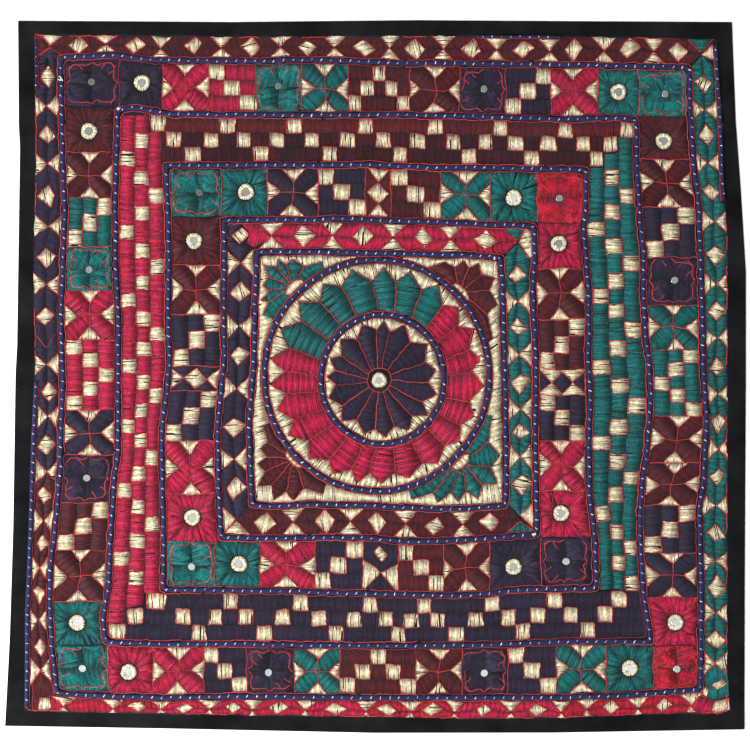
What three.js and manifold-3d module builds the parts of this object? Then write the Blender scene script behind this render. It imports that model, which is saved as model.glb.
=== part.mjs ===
// Embroidered tablecloth with stitched-in mirrors, laid flat and face up.
// Millimetres, +Z up. The origin is on the surface that the cloth lies on, under its middle.
// +Y is the cloth's top side, +X its right side, as one looks down on the stitched face.

import * as THREE from "three";
import { mergeVertices } from "three/addons/utils/BufferGeometryUtils.js";
import Module from "manifold-3d";

// Driving dimensions
const PIECE_GAP = 0.3; // air between separate pieces
const GROUND_THICKNESS = 1.2; // dark cotton ground with the backs of the stitches
const STITCH_HEIGHT = 0.8; // satin stitching stands this far above the ground
const BORDER_THICKNESS = 1.4; // black border, two layers of woven cotton
const STITCH_ROOT = 0.2; // how far raised stitching reaches into the ground, to be one with it
const CORD_WIDTH = 6.3; // couched blue cord
const CORD_HEIGHT = 3.2;
const CORD_ROUNDING = 1.1; // rounding along a cord's upper and lower edges
const CHANNEL_WIDTH = 11; // bare strip of ground that a cord lies in
const PANEL_MARGIN = 1.5; // bare ground between the panel's edge and its stitching
const MIRROR_THICKNESS = 0.9;
const RING_HEIGHT = 1.5; // buttonhole ring above the ground
const RING_ROUNDING = 1.1; // how far a ring's top draws in on each side
const ROUND_SIDES = 14; // facets round a mirror or a ring

const TOP_OF_GROUND = GROUND_THICKNESS;
const TOP_OF_STITCHES = GROUND_THICKNESS + STITCH_HEIGHT;

// The lines that run round the cloth. Each goes clockwise through four corners, and each side
// bows away from the straight line between its corners: [share of the side, outward offset].
const LINES = {
  clothEdge: {
    corners: {
      topLeft: [-500.5, 498.2], topRight: [499.1, 496.4],
      bottomRight: [516.6, -494.1], bottomLeft: [-518.7, -489.2],
    },
    bends: {
      top: [[0.3, -1.3], [0.56, 1.8], [0.66, 1.3]],
      right: [[0.14, 3], [0.24, 8.5], [0.355, 13.4], [0.5, 10.8], [0.775, 4.5]],
      bottom: [[0.26, 5.8], [0.5, 7.3], [0.78, 2.6]],
      left: [[0.125, -4.2], [0.28, -6.2], [0.5, -5.6], [0.54, -7], [0.82, -6], [0.85, -3.8]],
    },
  },
  panelEdge: {
    corners: {
      topLeft: [-478.1, 479.6], topRight: [478.1, 472.9],
      bottomRight: [493.5, -470.5], bottomLeft: [-492.1, -468.2],
    },
    bends: {
      top: [[0.34, -0.5], [0.67, 3.1], [0.82, 3.1]],
      right: [[0.11, 5.3], [0.2, 6.7], [0.3, 10.8], [0.5, 7.7]],
      bottom: [[0.24, 8.7], [0.35, 10.5], [0.5, 8], [0.68, 6.3], [0.94, 2.2]],
      left: [[0.145, 1.2], [0.26, -1.7], [0.41, -4], [0.5, -7], [0.555, -6.2], [0.645, -2.9], [0.8, -4.2]],
    },
  },
  firstCord: {
    corners: {
      topLeft: [-440.3, 446], topRight: [438.9, 432.7],
      bottomRight: [454.9, -437.4], bottomLeft: [-445.9, -442.8],
    },
    bends: {
      top: [[0.045, 3], [0.09, 5.4], [0.12, 1.5], [0.145, -1.4], [0.325, 0], [0.4, 3.1],
        [0.54, 0], [0.82, 1.1]],
      right: [[0.07, 0], [0.17, 4.3], [0.21, 9.3], [0.28, 10.4], [0.39, 12], [0.49, 11.8],
        [0.57, 15.4], [0.67, 8.9],
        [0.71, 2.7], [0.85, 3.2]],
      bottom: [[0.13, 8.7], [0.235, 10.5], [0.48, 9.5], [0.72, 6], [0.83, 7.6], [0.91, 4.9]],
      left: [[0.07, 7.4], [0.13, 10.5], [0.19, 10.9], [0.24, 5.5], [0.29, 1.6], [0.35, -2.8], [0.41, -3.3],
        [0.49, -5.7], [0.59, -2.3], [0.7, -5.3], [0.76, -7], [0.82, -3.8], [0.97, 0]],
    },
  },
  secondCord: {
    corners: {
      topLeft: [-360.5, 373.2], topRight: [364.7, 359.2],
      bottomRight: [385, -370.9], bottomLeft: [-377.3, -371.2],
    },
    bends: {
      top: [[0.03, 3.9], [0.065, 0], [0.1, -4.2], [0.2, -3.8], [0.37, -2.3], [0.54, 1],
        [0.72, 0.3], [0.85, -1.2],
        [0.97, 2.7]],
      right: [[0.1, -1.3], [0.2, 1.6], [0.26, 5.3], [0.33, 3.2], [0.41, 4.2], [0.45, 7.7],
        [0.52, 9.8], [0.58, 6.4],
        [0.65, 0.8], [0.68, -4.4], [0.75, -9.5], [0.81, -10.9], [0.92, -7.5], [0.98, -1]],
      bottom: [[0.155, -0.7], [0.22, 2], [0.31, 4.3], [0.47, 5.8], [0.59, 4.8], [0.76, 2.9], [0.9, 3.3]],
      left: [[0.04, 4.9], [0.11, -2.3], [0.17, -2.7], [0.23, -4.5], [0.31, -6.8], [0.35, -10.9],
        [0.42, -10.5],
        [0.515, -8.2], [0.605, -7.5], [0.71, -1.3], [0.8, 0.3], [0.89, 0.9]],
    },
  },
  thirdCord: {
    corners: {
      topLeft: [-293.3, 295.3], topRight: [294.7, 289.5],
      bottomRight: [308.4, -296], bottomLeft: [-297.1, -298.1],
    },
    bends: {
      top: [[0.25, 2.3], [0.35, 2.5], [0.5, 4.2], [0.62, 0.7], [0.75, 1.1], [0.89, 0.5]],
      right: [[0.11, -2.9], [0.145, -5.8], [0.25, -2], [0.29, -0.4], [0.395, -1.9], [0.44, -3.8],
        [0.54, -1.8],
        [0.65, -5.4], [0.77, -6.4], [0.83, -3], [0.89, 0.9]],
      bottom: [[0.15, 1.1], [0.19, 2.4], [0.27, 7.8], [0.32, 9.8], [0.47, 7.4], [0.65, 4.2], [0.76, 1.8]],
      left: [[0.09, -0.6], [0.21, 1.2], [0.29, 3.4], [0.39, 2.6], [0.46, -2.8], [0.54, -6.9], [0.64, -4.2],
        [0.78, -5], [0.88, -3.3]],
    },
  },
  fourthCord: {
    corners: {
      topLeft: [-212.1, 218.8], topRight: [221.9, 210.1],
      bottomRight: [225.8, -220.4], bottomLeft: [-216.3, -225.3],
    },
    bends: {
      top: [[0.155, 2.3], [0.29, 2.5], [0.36, 6], [0.5, 4.1], [0.65, 3.7], [0.83, 1.4], [0.945, 1.4]],
      right: [[0.1, 0.7], [0.21, -2.9], [0.35, -0.3], [0.47, 1], [0.64, -1.1], [0.86, -0.6]],
      bottom: [[0.09, 3.2], [0.19, 6.1], [0.335, 8.4], [0.43, 8], [0.53, 2.2], [0.64, 1.6], [0.84, 1.8]],
      left: [[0.08, 2.3], [0.16, 3.9], [0.33, 6.3], [0.45, 2.3], [0.57, -2.7], [0.68, -0.7], [0.82, -1.6]],
    },
  },
  fifthCord: {
    corners: {
      topLeft: [-165.9, 174.4], topRight: [174.3, 167.4],
      bottomRight: [182, -180.5], bottomLeft: [-172.9, -179.1],
    },
    bends: {
      top: [[0.2, 1.4], [0.44, 1.7], [0.675, 1.9], [0.91, 1.1]],
      right: [[0.12, 2.7], [0.43, 3], [0.66, 2.6], [0.89, 2]],
      bottom: [[0.18, 5.2], [0.41, 3.2], [0.56, 0], [0.79, -0.3], [0.94, 2.6]],
      left: [[0.18, 4], [0.33, 6.5], [0.56, 1.1], [0.79, 1.3]],
    },
  },
};
const SQUARE_CORDS = ["firstCord", "secondCord", "thirdCord", "fourthCord", "fifthCord"];

// The two round cords of the middle medallion
const ROUND_CORDS = {
  outerCircle: { centre: [1.8, 1.6], radii: [157.4, 162], steps: 44 },
  innerCircle: { centre: [9.9, -3.7], radii: [86.4, 91], steps: 32 },
};

// Cords that lie open just inside the panel's edge, from one share of a side to another. The
// border covers the rest of them.
const EDGE_CORDS = {
  edge_cord_left_top: { side: "left", from: 0.917, to: 0.99 },
  edge_cord_left_bottom: { side: "left", from: 0.01, to: 0.486 },
  edge_cord_right: { side: "right", from: 0.01, to: 0.24 },
  edge_cord_top: { side: "top", from: 0.65, to: 0.77 },
};
const EDGE_CHANNEL_WIDTH = 9;
const EDGE_CHANNEL_OVERRUN = 2.5; // bare ground past each end of such a cord
const EDGE_CORD_INSET = 5.2; // from the panel's edge to the cord's middle

// How each kind of mirror sits: its radius, the stitched ring round it, and the well in the stitching
const SETTINGS = {
  star: { mirror: 4.3, well: 4.7 },
  ring: { mirror: 6.4, ringInner: 6.8, ringOuter: 11.3, well: 13.5 },
  centre: { mirror: 7, ringInner: 7.4, ringOuter: 12, well: 17 },
};

// Every mirror: its kind and the place of its middle
const MIRRORS = [
  { kind: "star", x: -397.5, y: 412.4 }, { kind: "ring", x: -326.9, y: 411.4 },
  { kind: "star", x: -136.1, y: 406.8 }, { kind: "star", x: 151.9, y: 402.6 },
  { kind: "ring", x: 340.1, y: 398.4 }, { kind: "star", x: 405.3, y: 395.6 },
  { kind: "ring", x: 403.5, y: 329.8 }, { kind: "star", x: 418.7, y: 134.9 },
  { kind: "ring", x: 420, y: -344.3 }, { kind: "star", x: 421.8, y: -409.4 },
  { kind: "ring", x: 356, y: -408.3 }, { kind: "star", x: 152.3, y: -415 },
  { kind: "star", x: -149.8, y: -414.3 }, { kind: "ring", x: -345.4, y: -413.6 },
  { kind: "star", x: -410.3, y: -408.6 }, { kind: "ring", x: -417.5, y: -344.5 },
  { kind: "star", x: -404.2, y: -142 }, { kind: "star", x: -401, y: 149.6 },
  { kind: "ring", x: -401.1, y: 343.6 }, { kind: "star", x: -246.7, y: 257.4 },
  { kind: "ring", x: -181.3, y: 258.4 }, { kind: "ring", x: 193.6, y: 250.1 },
  { kind: "star", x: 257.5, y: 249.7 }, { kind: "ring", x: 256.5, y: 186.3 },
  { kind: "ring", x: 260.1, y: -191.3 }, { kind: "star", x: 266.8, y: -258.8 },
  { kind: "ring", x: 193.3, y: -266.5 }, { kind: "ring", x: -190.8, y: -262.3 },
  { kind: "star", x: -257.5, y: -266.3 }, { kind: "ring", x: -256.3, y: -196.9 },
  { kind: "ring", x: -253.8, y: 190.2 }, { kind: "centre", x: 5.2, y: -5.1 },
];

// Finishes
const FINISHES = {
  panel: new THREE.MeshStandardMaterial({ color: 0x5a2a3c, roughness: 0.75, metalness: 0 }),
  border: new THREE.MeshStandardMaterial({ color: 0x1c1d20, roughness: 0.9, metalness: 0 }),
  cord: new THREE.MeshStandardMaterial({ color: 0x2c3c8c, roughness: 0.8, metalness: 0 }),
  mirror: new THREE.MeshStandardMaterial({ color: 0xa5b4aa, roughness: 0.12, metalness: 0.9 }),
};

// Outlines

const point = ([x, y]) => new THREE.Vector2(x, y);

// A unit vector square to the way from one point to the next, on its left
function leftOf(from, to) {
  const way = to.clone().sub(from).normalize();
  return new THREE.Vector2(-way.y, way.x);
}

// One side of a line: its first corner and its bends, up to the next corner
function sidePoints(start, end, bends) {
  const left = leftOf(start, end);
  const bowed = bends.map(([share, outward]) => start.clone().lerp(end, share).addScaledVector(left, outward));
  return [start, ...bowed];
}

// Each side's first and last corner, clockwise
const SIDES = {
  top: ["topLeft", "topRight"],
  right: ["topRight", "bottomRight"],
  bottom: ["bottomRight", "bottomLeft"],
  left: ["bottomLeft", "topLeft"],
};

function linePoints({ corners, bends }) {
  return Object.entries(SIDES).flatMap(([side, [first, last]]) =>
    sidePoints(point(corners[first]), point(corners[last]), bends[side]),
  );
}

// The stretch of one side of the panel's edge that an edge cord follows, at its inset
function edgeCordPoints({ side, from, to }) {
  const { corners, bends } = LINES.panelEdge;
  const [start, end] = SIDES[side].map((corner) => point(corners[corner]));
  const knots = [[0, 0], ...bends[side], [1, 0]];
  const outwardAt = (share) => {
    const next = knots.findIndex(([at]) => at >= share);
    const [[before, low], [after, high]] = knots.slice(next - 1, next + 1);
    return THREE.MathUtils.mapLinear(share, before, after, low, high);
  };
  const shares = [from, ...bends[side].map(([at]) => at).filter((at) => at > from && at < to), to];
  const onEdge = sidePoints(start, end, shares.map((share) => [share, outwardAt(share)])).slice(1);
  return moved(onEdge, -EDGE_CORD_INSET, false);
}

// Clockwise, as the lines are
function ellipsePoints({ centre, radii, steps }) {
  return Array.from({ length: steps }, (_, i) => {
    const angle = (-2 * Math.PI * i) / steps;
    return new THREE.Vector2(centre[0] + radii[0] * Math.cos(angle), centre[1] + radii[1] * Math.sin(angle));
  });
}

// A line moved to its left by a distance: outwards, on a clockwise closed one
function moved(points, distance, closed = true) {
  const last = points.length - 1;
  return points.map((here, i) => {
    const before = points[i === 0 ? (closed ? last : 0) : i - 1];
    const after = points[i === last ? (closed ? 0 : last) : i + 1];
    const into = leftOf(before === here ? here : before, before === here ? after : here);
    const out = leftOf(after === here ? before : here, after === here ? here : after);
    const mitre = into.clone().add(out).normalize();
    return here.clone().addScaledVector(mitre, distance / mitre.dot(out));
  });
}

// Solids

// Outline and holes both run clockwise, and an extruded hole has to run the other way
function extruded(outline, holes, bottom, top, rounding = 0) {
  const shape = new THREE.Shape(outline);
  shape.holes = holes.map((hole) => new THREE.Path([...hole].reverse()));
  const geometry = new THREE.ExtrudeGeometry(shape, {
    depth: top - bottom - 2 * rounding,
    bevelEnabled: rounding > 0,
    bevelThickness: rounding,
    bevelSize: rounding,
    bevelSegments: 1,
  });
  return geometry.translate(0, 0, bottom + rounding);
}

const wasm = await Module();
wasm.setup();

function toSolid(geometry) {
  const bare = geometry.clone();
  bare.deleteAttribute("normal");
  bare.deleteAttribute("uv");
  const merged = mergeVertices(bare, 1e-4);
  return new wasm.Manifold(
    new wasm.Mesh({
      numProp: 3,
      vertProperties: merged.attributes.position.array,
      triVerts: new Uint32Array(merged.index.array),
    }),
  );
}

function toGeometry(solid) {
  const { vertProperties, triVerts } = solid.getMesh();
  return new THREE.BufferGeometry()
    .setAttribute("position", new THREE.BufferAttribute(vertProperties, 3))
    .setIndex(new THREE.BufferAttribute(triVerts, 1));
}

// Raised stitching between an outer and an inner outline
function stitchedBand(outline, hole) {
  return toSolid(extruded(outline, hole ? [hole] : [], TOP_OF_GROUND - STITCH_ROOT, TOP_OF_STITCHES));
}

// A closed strip of even width that follows an open line and runs past both its ends
function stripOutline(points, width, overrun) {
  const beyond = (end, neighbour) => end.clone().sub(neighbour).setLength(overrun).add(end);
  const longer = [
    beyond(points[0], points[1]),
    ...points.slice(1, -1),
    beyond(points.at(-1), points.at(-2)),
  ];
  return [...moved(longer, width / 2, false), ...moved(longer, -width / 2, false).reverse()];
}

function well(radius, x, y) {
  const height = 2 * STITCH_HEIGHT;
  return toSolid(
    new THREE.CylinderGeometry(radius, radius, height, ROUND_SIDES)
      .rotateX(Math.PI / 2)
      .translate(x, y, TOP_OF_GROUND + height / 2),
  );
}

function stitchedRing(inner, outer, x, y) {
  const profile = [
    [inner, -STITCH_ROOT],
    [outer, -STITCH_ROOT],
    [outer - RING_ROUNDING, RING_HEIGHT],
    [inner + RING_ROUNDING, RING_HEIGHT],
    [inner, -STITCH_ROOT],
  ].map(point);
  return toSolid(new THREE.LatheGeometry(profile, ROUND_SIDES).rotateX(Math.PI / 2).translate(x, y, TOP_OF_GROUND));
}

// The embroidered panel: the ground, and on it the stitched bands with bare channels for the cords
function panelGeometry() {
  const half = CHANNEL_WIDTH / 2;
  const edge = linePoints(LINES.panelEdge);
  const squares = SQUARE_CORDS.map((name) => linePoints(LINES[name]));
  const outerCircle = ellipsePoints(ROUND_CORDS.outerCircle);
  const innerCircle = ellipsePoints(ROUND_CORDS.innerCircle);

  let stitches = stitchedBand(moved(edge, -PANEL_MARGIN), moved(squares[0], half));
  for (const stretch of Object.values(EDGE_CORDS)) {
    const channel = stripOutline(edgeCordPoints(stretch), EDGE_CHANNEL_WIDTH, EDGE_CHANNEL_OVERRUN);
    stitches = stitches.subtract(toSolid(extruded(channel, [], TOP_OF_GROUND, TOP_OF_STITCHES + STITCH_HEIGHT)));
  }
  for (let i = 1; i < squares.length; i++)
    stitches = stitches.add(stitchedBand(moved(squares[i - 1], -half), moved(squares[i], half)));
  const middle = stitchedBand(moved(squares.at(-1), -half));
  stitches = stitches
    .add(middle.subtract(toSolid(extruded(moved(outerCircle, half), [], 0, TOP_OF_STITCHES + STITCH_HEIGHT))))
    .add(stitchedBand(moved(outerCircle, -half), moved(innerCircle, half)))
    .add(stitchedBand(moved(innerCircle, -half)));
  for (const { kind, x, y } of MIRRORS) stitches = stitches.subtract(well(SETTINGS[kind].well, x, y));

  let panel = toSolid(extruded(edge, [], 0, TOP_OF_GROUND)).add(stitches);
  for (const { kind, x, y } of MIRRORS) {
    const { ringInner, ringOuter } = SETTINGS[kind];
    if (ringOuter) panel = panel.add(stitchedRing(ringInner, ringOuter, x, y));
  }
  return toGeometry(panel);
}

// A couched cord, on the ground in its channel
function cordGeometry(points, closed = true) {
  const half = CORD_WIDTH / 2 - CORD_ROUNDING;
  const bottom = TOP_OF_GROUND + PIECE_GAP;
  const top = bottom + CORD_HEIGHT;
  if (closed) return extruded(moved(points, half), [moved(points, -half)], bottom, top, CORD_ROUNDING);
  return extruded(stripOutline(points, 2 * half, 0), [], bottom, top, CORD_ROUNDING);
}

// The border is one ring round the panel, cut into four strips: the top and the bottom one run
// the whole width, and the side strips fit between them.
const SEAM_DROP = 1.4; // how far inside the panel's corners the top and bottom strips are cut
const FAR = 700; // beyond the cloth on every side
function borderStrips() {
  const ring = toSolid(
    extruded(linePoints(LINES.clothEdge), [moved(linePoints(LINES.panelEdge), PIECE_GAP)], 0, BORDER_THICKNESS),
  );
  const { topLeft, topRight, bottomLeft, bottomRight } = LINES.panelEdge.corners;
  const topSeam = [topLeft[1] - SEAM_DROP, topRight[1] - SEAM_DROP];
  const bottomSeam = [bottomLeft[1] + SEAM_DROP, bottomRight[1] + SEAM_DROP];
  const cut = (corners) => {
    const region = toSolid(extruded(corners.map(point), [], -BORDER_THICKNESS, 2 * BORDER_THICKNESS));
    return toGeometry(ring.intersect(region));
  };
  // The seams' heights at the far left and far right, carried on from the panel's corners
  const at = ([left, right], x) =>
    THREE.MathUtils.mapLinear(x, topLeft[0], topRight[0], left, right);
  const side = (inner, outer) => cut([
    [inner, at(topSeam, inner) - PIECE_GAP], [outer, at(topSeam, outer) - PIECE_GAP],
    [outer, at(bottomSeam, outer) + PIECE_GAP], [inner, at(bottomSeam, inner) + PIECE_GAP],
  ]);
  return {
    border_top: cut([[-FAR, at(topSeam, -FAR)], [FAR, at(topSeam, FAR)], [FAR, FAR], [-FAR, FAR]]),
    border_right: side(0, FAR),
    border_bottom: cut([[-FAR, at(bottomSeam, -FAR)], [FAR, at(bottomSeam, FAR)], [FAR, -FAR], [-FAR, -FAR]]),
    border_left: side(0, -FAR),
  };
}

// The cloth

const cloth = new THREE.Group();

function addPiece(name, geometry, finish) {
  const piece = new THREE.Mesh(geometry, finish);
  piece.name = name;
  cloth.add(piece);
  return piece;
}

addPiece("embroidered_panel", panelGeometry(), FINISHES.panel);
for (const [name, geometry] of Object.entries(borderStrips())) addPiece(name, geometry, FINISHES.border);
SQUARE_CORDS.forEach((name, i) => {
  addPiece(`square_cord_${i + 1}`, cordGeometry(linePoints(LINES[name])), FINISHES.cord);
});
addPiece("round_cord_outer", cordGeometry(ellipsePoints(ROUND_CORDS.outerCircle)), FINISHES.cord);
addPiece("round_cord_inner", cordGeometry(ellipsePoints(ROUND_CORDS.innerCircle)), FINISHES.cord);
for (const [name, stretch] of Object.entries(EDGE_CORDS))
  addPiece(name, cordGeometry(edgeCordPoints(stretch), false), FINISHES.cord);
MIRRORS.forEach(({ kind, x, y }, i) => {
  const radius = SETTINGS[kind].mirror;
  const disc = new THREE.CylinderGeometry(radius, radius, MIRROR_THICKNESS, ROUND_SIDES).rotateX(Math.PI / 2);
  const mirror = addPiece(`mirror_${kind}_${i + 1}`, disc, FINISHES.mirror);
  mirror.position.set(x, y, TOP_OF_GROUND + PIECE_GAP + MIRROR_THICKNESS / 2);
});

export default cloth;
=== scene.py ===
# %% [markdown]
# # An embroidered tablecloth with mirrors, laid flat
# The real cloth is a dark cotton ground, covered with satin stitch in silky floss. Nested square
# bands lie between couched blue cords, a round flower medallion fills the middle, small mirrors are
# sewn in, and a plain black border runs round it all. The CAD part gives the size and the place of
# every piece. This script lays the threads.

import bpy
import numpy as np
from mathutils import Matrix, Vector


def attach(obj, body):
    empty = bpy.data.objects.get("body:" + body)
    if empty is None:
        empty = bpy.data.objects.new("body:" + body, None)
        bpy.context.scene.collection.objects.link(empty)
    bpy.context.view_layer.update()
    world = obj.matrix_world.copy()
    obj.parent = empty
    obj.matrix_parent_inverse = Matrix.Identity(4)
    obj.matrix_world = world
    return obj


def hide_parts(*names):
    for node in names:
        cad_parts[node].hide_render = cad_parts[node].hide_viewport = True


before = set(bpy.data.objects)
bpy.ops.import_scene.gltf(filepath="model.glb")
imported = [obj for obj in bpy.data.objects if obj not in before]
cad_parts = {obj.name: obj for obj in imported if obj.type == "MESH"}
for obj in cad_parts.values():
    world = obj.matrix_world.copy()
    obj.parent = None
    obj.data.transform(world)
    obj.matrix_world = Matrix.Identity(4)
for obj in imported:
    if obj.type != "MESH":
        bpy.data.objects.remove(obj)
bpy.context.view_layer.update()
rng = np.random.default_rng(11)
MM = 0.001  # the tables below are in millimetres, and meshes are in metres
print("CAD nodes:", len(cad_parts))

# %% [markdown]
# ## Heights and widths
# Seen from the side, the cloth is very thin, so a few heights decide how every piece sits on the
# others. They are the CAD part's own, and only the threads go a little past them.

# %% Heights and widths
GROUND_TOP = 1.2
BORDER_TOP = 1.4
STITCH_ROOT = 1.25  # the height at which the ends of a satin stitch dive into the ground
CORD_WIDTH = 6.3
CORD_MIDDLE = 3.1
CORD_HEIGHT = 3.2
CHANNEL = 5.5  # bare ground from a cord's middle to the stitches
EDGE_MARGIN = 1.5  # from the panel's edge to its stitches
RED_LINE_GAP = 4.7  # from a cord's middle to the red line beside it
MIRROR_TOP = 2.4
MIRROR_BOTTOM = 1.5

# %% [markdown]
# ## The lines that run round the cloth
# Hand embroidery never runs straight. Each line has four corners, clockwise from the top left, and
# each side bows away from the straight way between its corners: a share of the side and an outward
# distance. The CAD part is drawn with the same numbers.

# %% Lines
SIDES = ["top", "right", "bottom", "left"]
LINES = {
    "cloth_edge": {
        "corners": [(-500.5, 498.2), (499.1, 496.4), (516.6, -494.1), (-518.7, -489.2)],
        "top": [(0.3, -1.3), (0.56, 1.8), (0.66, 1.3)],
        "right": [(0.14, 3), (0.24, 8.5), (0.355, 13.4), (0.5, 10.8), (0.775, 4.5)],
        "bottom": [(0.26, 5.8), (0.5, 7.3), (0.78, 2.6)],
        "left": [(0.125, -4.2), (0.28, -6.2), (0.5, -5.6), (0.54, -7), (0.82, -6), (0.85, -3.8)],
    },
    "panel_edge": {
        "corners": [(-478.1, 479.6), (478.1, 472.9), (493.5, -470.5), (-492.1, -468.2)],
        "top": [(0.34, -0.5), (0.67, 3.1), (0.82, 3.1)],
        "right": [(0.11, 5.3), (0.2, 6.7), (0.3, 10.8), (0.5, 7.7)],
        "bottom": [(0.24, 8.7), (0.35, 10.5), (0.5, 8), (0.68, 6.3), (0.94, 2.2)],
        "left": [
            (0.145, 1.2), (0.26, -1.7), (0.41, -4), (0.5, -7), (0.555, -6.2), (0.645, -2.9), (0.8, -4.2),
        ],
    },
    "cord_1": {
        "corners": [(-440.3, 446), (438.9, 432.7), (454.9, -437.4), (-445.9, -442.8)],
        "top": [
            (0.045, 3), (0.09, 5.4), (0.12, 1.5), (0.145, -1.4), (0.325, 0), (0.4, 3.1), (0.54, 0),
            (0.82, 1.1),
        ],
        "right": [
            (0.07, 0), (0.17, 4.3), (0.21, 9.3), (0.28, 10.4), (0.39, 12), (0.49, 11.8), (0.57, 15.4),
            (0.67, 8.9), (0.71, 2.7), (0.85, 3.2),
        ],
        "bottom": [(0.13, 8.7), (0.235, 10.5), (0.48, 9.5), (0.72, 6), (0.83, 7.6), (0.91, 4.9)],
        "left": [
            (0.07, 7.4), (0.13, 10.5), (0.19, 10.9), (0.24, 5.5), (0.29, 1.6), (0.35, -2.8), (0.41, -3.3),
            (0.49, -5.7), (0.59, -2.3), (0.7, -5.3), (0.76, -7), (0.82, -3.8), (0.97, 0),
        ],
    },
    "cord_2": {
        "corners": [(-360.5, 373.2), (364.7, 359.2), (385, -370.9), (-377.3, -371.2)],
        "top": [
            (0.03, 3.9), (0.065, 0), (0.1, -4.2), (0.2, -3.8), (0.37, -2.3), (0.54, 1), (0.72, 0.3),
            (0.85, -1.2), (0.97, 2.7),
        ],
        "right": [
            (0.1, -1.3), (0.2, 1.6), (0.26, 5.3), (0.33, 3.2), (0.41, 4.2), (0.45, 7.7), (0.52, 9.8),
            (0.58, 6.4), (0.65, 0.8), (0.68, -4.4), (0.75, -9.5), (0.81, -10.9), (0.92, -7.5), (0.98, -1),
        ],
        "bottom": [(0.155, -0.7), (0.22, 2), (0.31, 4.3), (0.47, 5.8), (0.59, 4.8), (0.76, 2.9), (0.9, 3.3)],
        "left": [
            (0.04, 4.9), (0.11, -2.3), (0.17, -2.7), (0.23, -4.5), (0.31, -6.8), (0.35, -10.9),
            (0.42, -10.5), (0.515, -8.2), (0.605, -7.5), (0.71, -1.3), (0.8, 0.3), (0.89, 0.9),
        ],
    },
    "cord_3": {
        "corners": [(-293.3, 295.3), (294.7, 289.5), (308.4, -296), (-297.1, -298.1)],
        "top": [(0.25, 2.3), (0.35, 2.5), (0.5, 4.2), (0.62, 0.7), (0.75, 1.1), (0.89, 0.5)],
        "right": [
            (0.11, -2.9), (0.145, -5.8), (0.25, -2), (0.29, -0.4), (0.395, -1.9), (0.44, -3.8),
            (0.54, -1.8), (0.65, -5.4), (0.77, -6.4), (0.83, -3), (0.89, 0.9),
        ],
        "bottom": [(0.15, 1.1), (0.19, 2.4), (0.27, 7.8), (0.32, 9.8), (0.47, 7.4), (0.65, 4.2), (0.76, 1.8)],
        "left": [
            (0.09, -0.6), (0.21, 1.2), (0.29, 3.4), (0.39, 2.6), (0.46, -2.8), (0.54, -6.9), (0.64, -4.2),
            (0.78, -5), (0.88, -3.3),
        ],
    },
    "cord_4": {
        "corners": [(-212.1, 218.8), (221.9, 210.1), (225.8, -220.4), (-216.3, -225.3)],
        "top": [(0.155, 2.3), (0.29, 2.5), (0.36, 6), (0.5, 4.1), (0.65, 3.7), (0.83, 1.4), (0.945, 1.4)],
        "right": [(0.1, 0.7), (0.21, -2.9), (0.35, -0.3), (0.47, 1), (0.64, -1.1), (0.86, -0.6)],
        "bottom": [(0.09, 3.2), (0.19, 6.1), (0.335, 8.4), (0.43, 8), (0.53, 2.2), (0.64, 1.6), (0.84, 1.8)],
        "left": [
            (0.08, 2.3), (0.16, 3.9), (0.33, 6.3), (0.45, 2.3), (0.57, -2.7), (0.68, -0.7), (0.82, -1.6),
        ],
    },
    "cord_5": {
        "corners": [(-165.9, 174.4), (174.3, 167.4), (182, -180.5), (-172.9, -179.1)],
        "top": [(0.2, 1.4), (0.44, 1.7), (0.675, 1.9), (0.91, 1.1)],
        "right": [(0.12, 2.7), (0.43, 3), (0.66, 2.6), (0.89, 2)],
        "bottom": [(0.18, 5.2), (0.41, 3.2), (0.56, 0), (0.79, -0.3), (0.94, 2.6)],
        "left": [(0.18, 4), (0.33, 6.5), (0.56, 1.1), (0.79, 1.3)],
    },
}
CIRCLES = {"outer": ((1.8, 1.6), (157.4, 162)), "inner": ((9.9, -3.7), (86.4, 91))}


def unit(way):
    return way / np.linalg.norm(way, axis=-1, keepdims=True)


def turn_of(way):
    """The turn of a way, in radians."""
    return np.arctan2(way[1], way[0])


def side_frame(line, side):
    """The two corners of a side, clockwise, and its outward way."""
    which = SIDES.index(side)
    start, end = (np.array(LINES[line]["corners"][i % 4], float) for i in (which, which + 1))
    way = unit(end - start)
    return start, end, np.array([-way[1], way[0]])


def side_points(line, side):
    """One side of a line, from its first corner to its next one, clockwise."""
    start, end, outward = side_frame(line, side)
    bends = [start + share * (end - start) + out * outward for share, out in LINES[line][side]]
    return np.array([start, *bends, end])


def loop_points(line):
    return np.concatenate([side_points(line, side)[:-1] for side in SIDES])


def circle_points(name, gap=0.0, steps=120):
    centre, radii = CIRCLES[name]
    angle = -2 * np.pi * np.arange(steps) / steps
    return np.array(centre) + np.stack([np.cos(angle), np.sin(angle)], 1) * (np.array(radii) + gap)


def moved(points, distance, closed=True):
    """A line moved to its left, which is outwards on a clockwise closed line."""
    before = np.roll(points, 1, axis=0)
    after = np.roll(points, -1, axis=0)
    if not closed:
        before[0] = 2 * points[0] - points[1]
        after[-1] = 2 * points[-1] - points[-2]
    into = unit(points - before)
    out = unit(after - points)
    left_in = np.stack([-into[:, 1], into[:, 0]], 1)
    left_out = np.stack([-out[:, 1], out[:, 0]], 1)
    mitre = unit(left_in + left_out)
    return points + mitre * (distance / (mitre * left_out).sum(1, keepdims=True))


def spread(points, step, closed=False):
    """The same line with points at even distances."""
    if closed:
        points = np.concatenate([points, points[:1]])
    lengths = np.linalg.norm(np.diff(points, axis=0), axis=1)
    at = np.concatenate([[0], np.cumsum(lengths)])
    count = max(2, int(round(at[-1] / step)) + 1)
    where = np.linspace(0, at[-1], count)
    even = np.stack([np.interp(where, at, points[:, i]) for i in range(points.shape[1])], 1)
    return even[:-1] if closed else even


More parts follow.
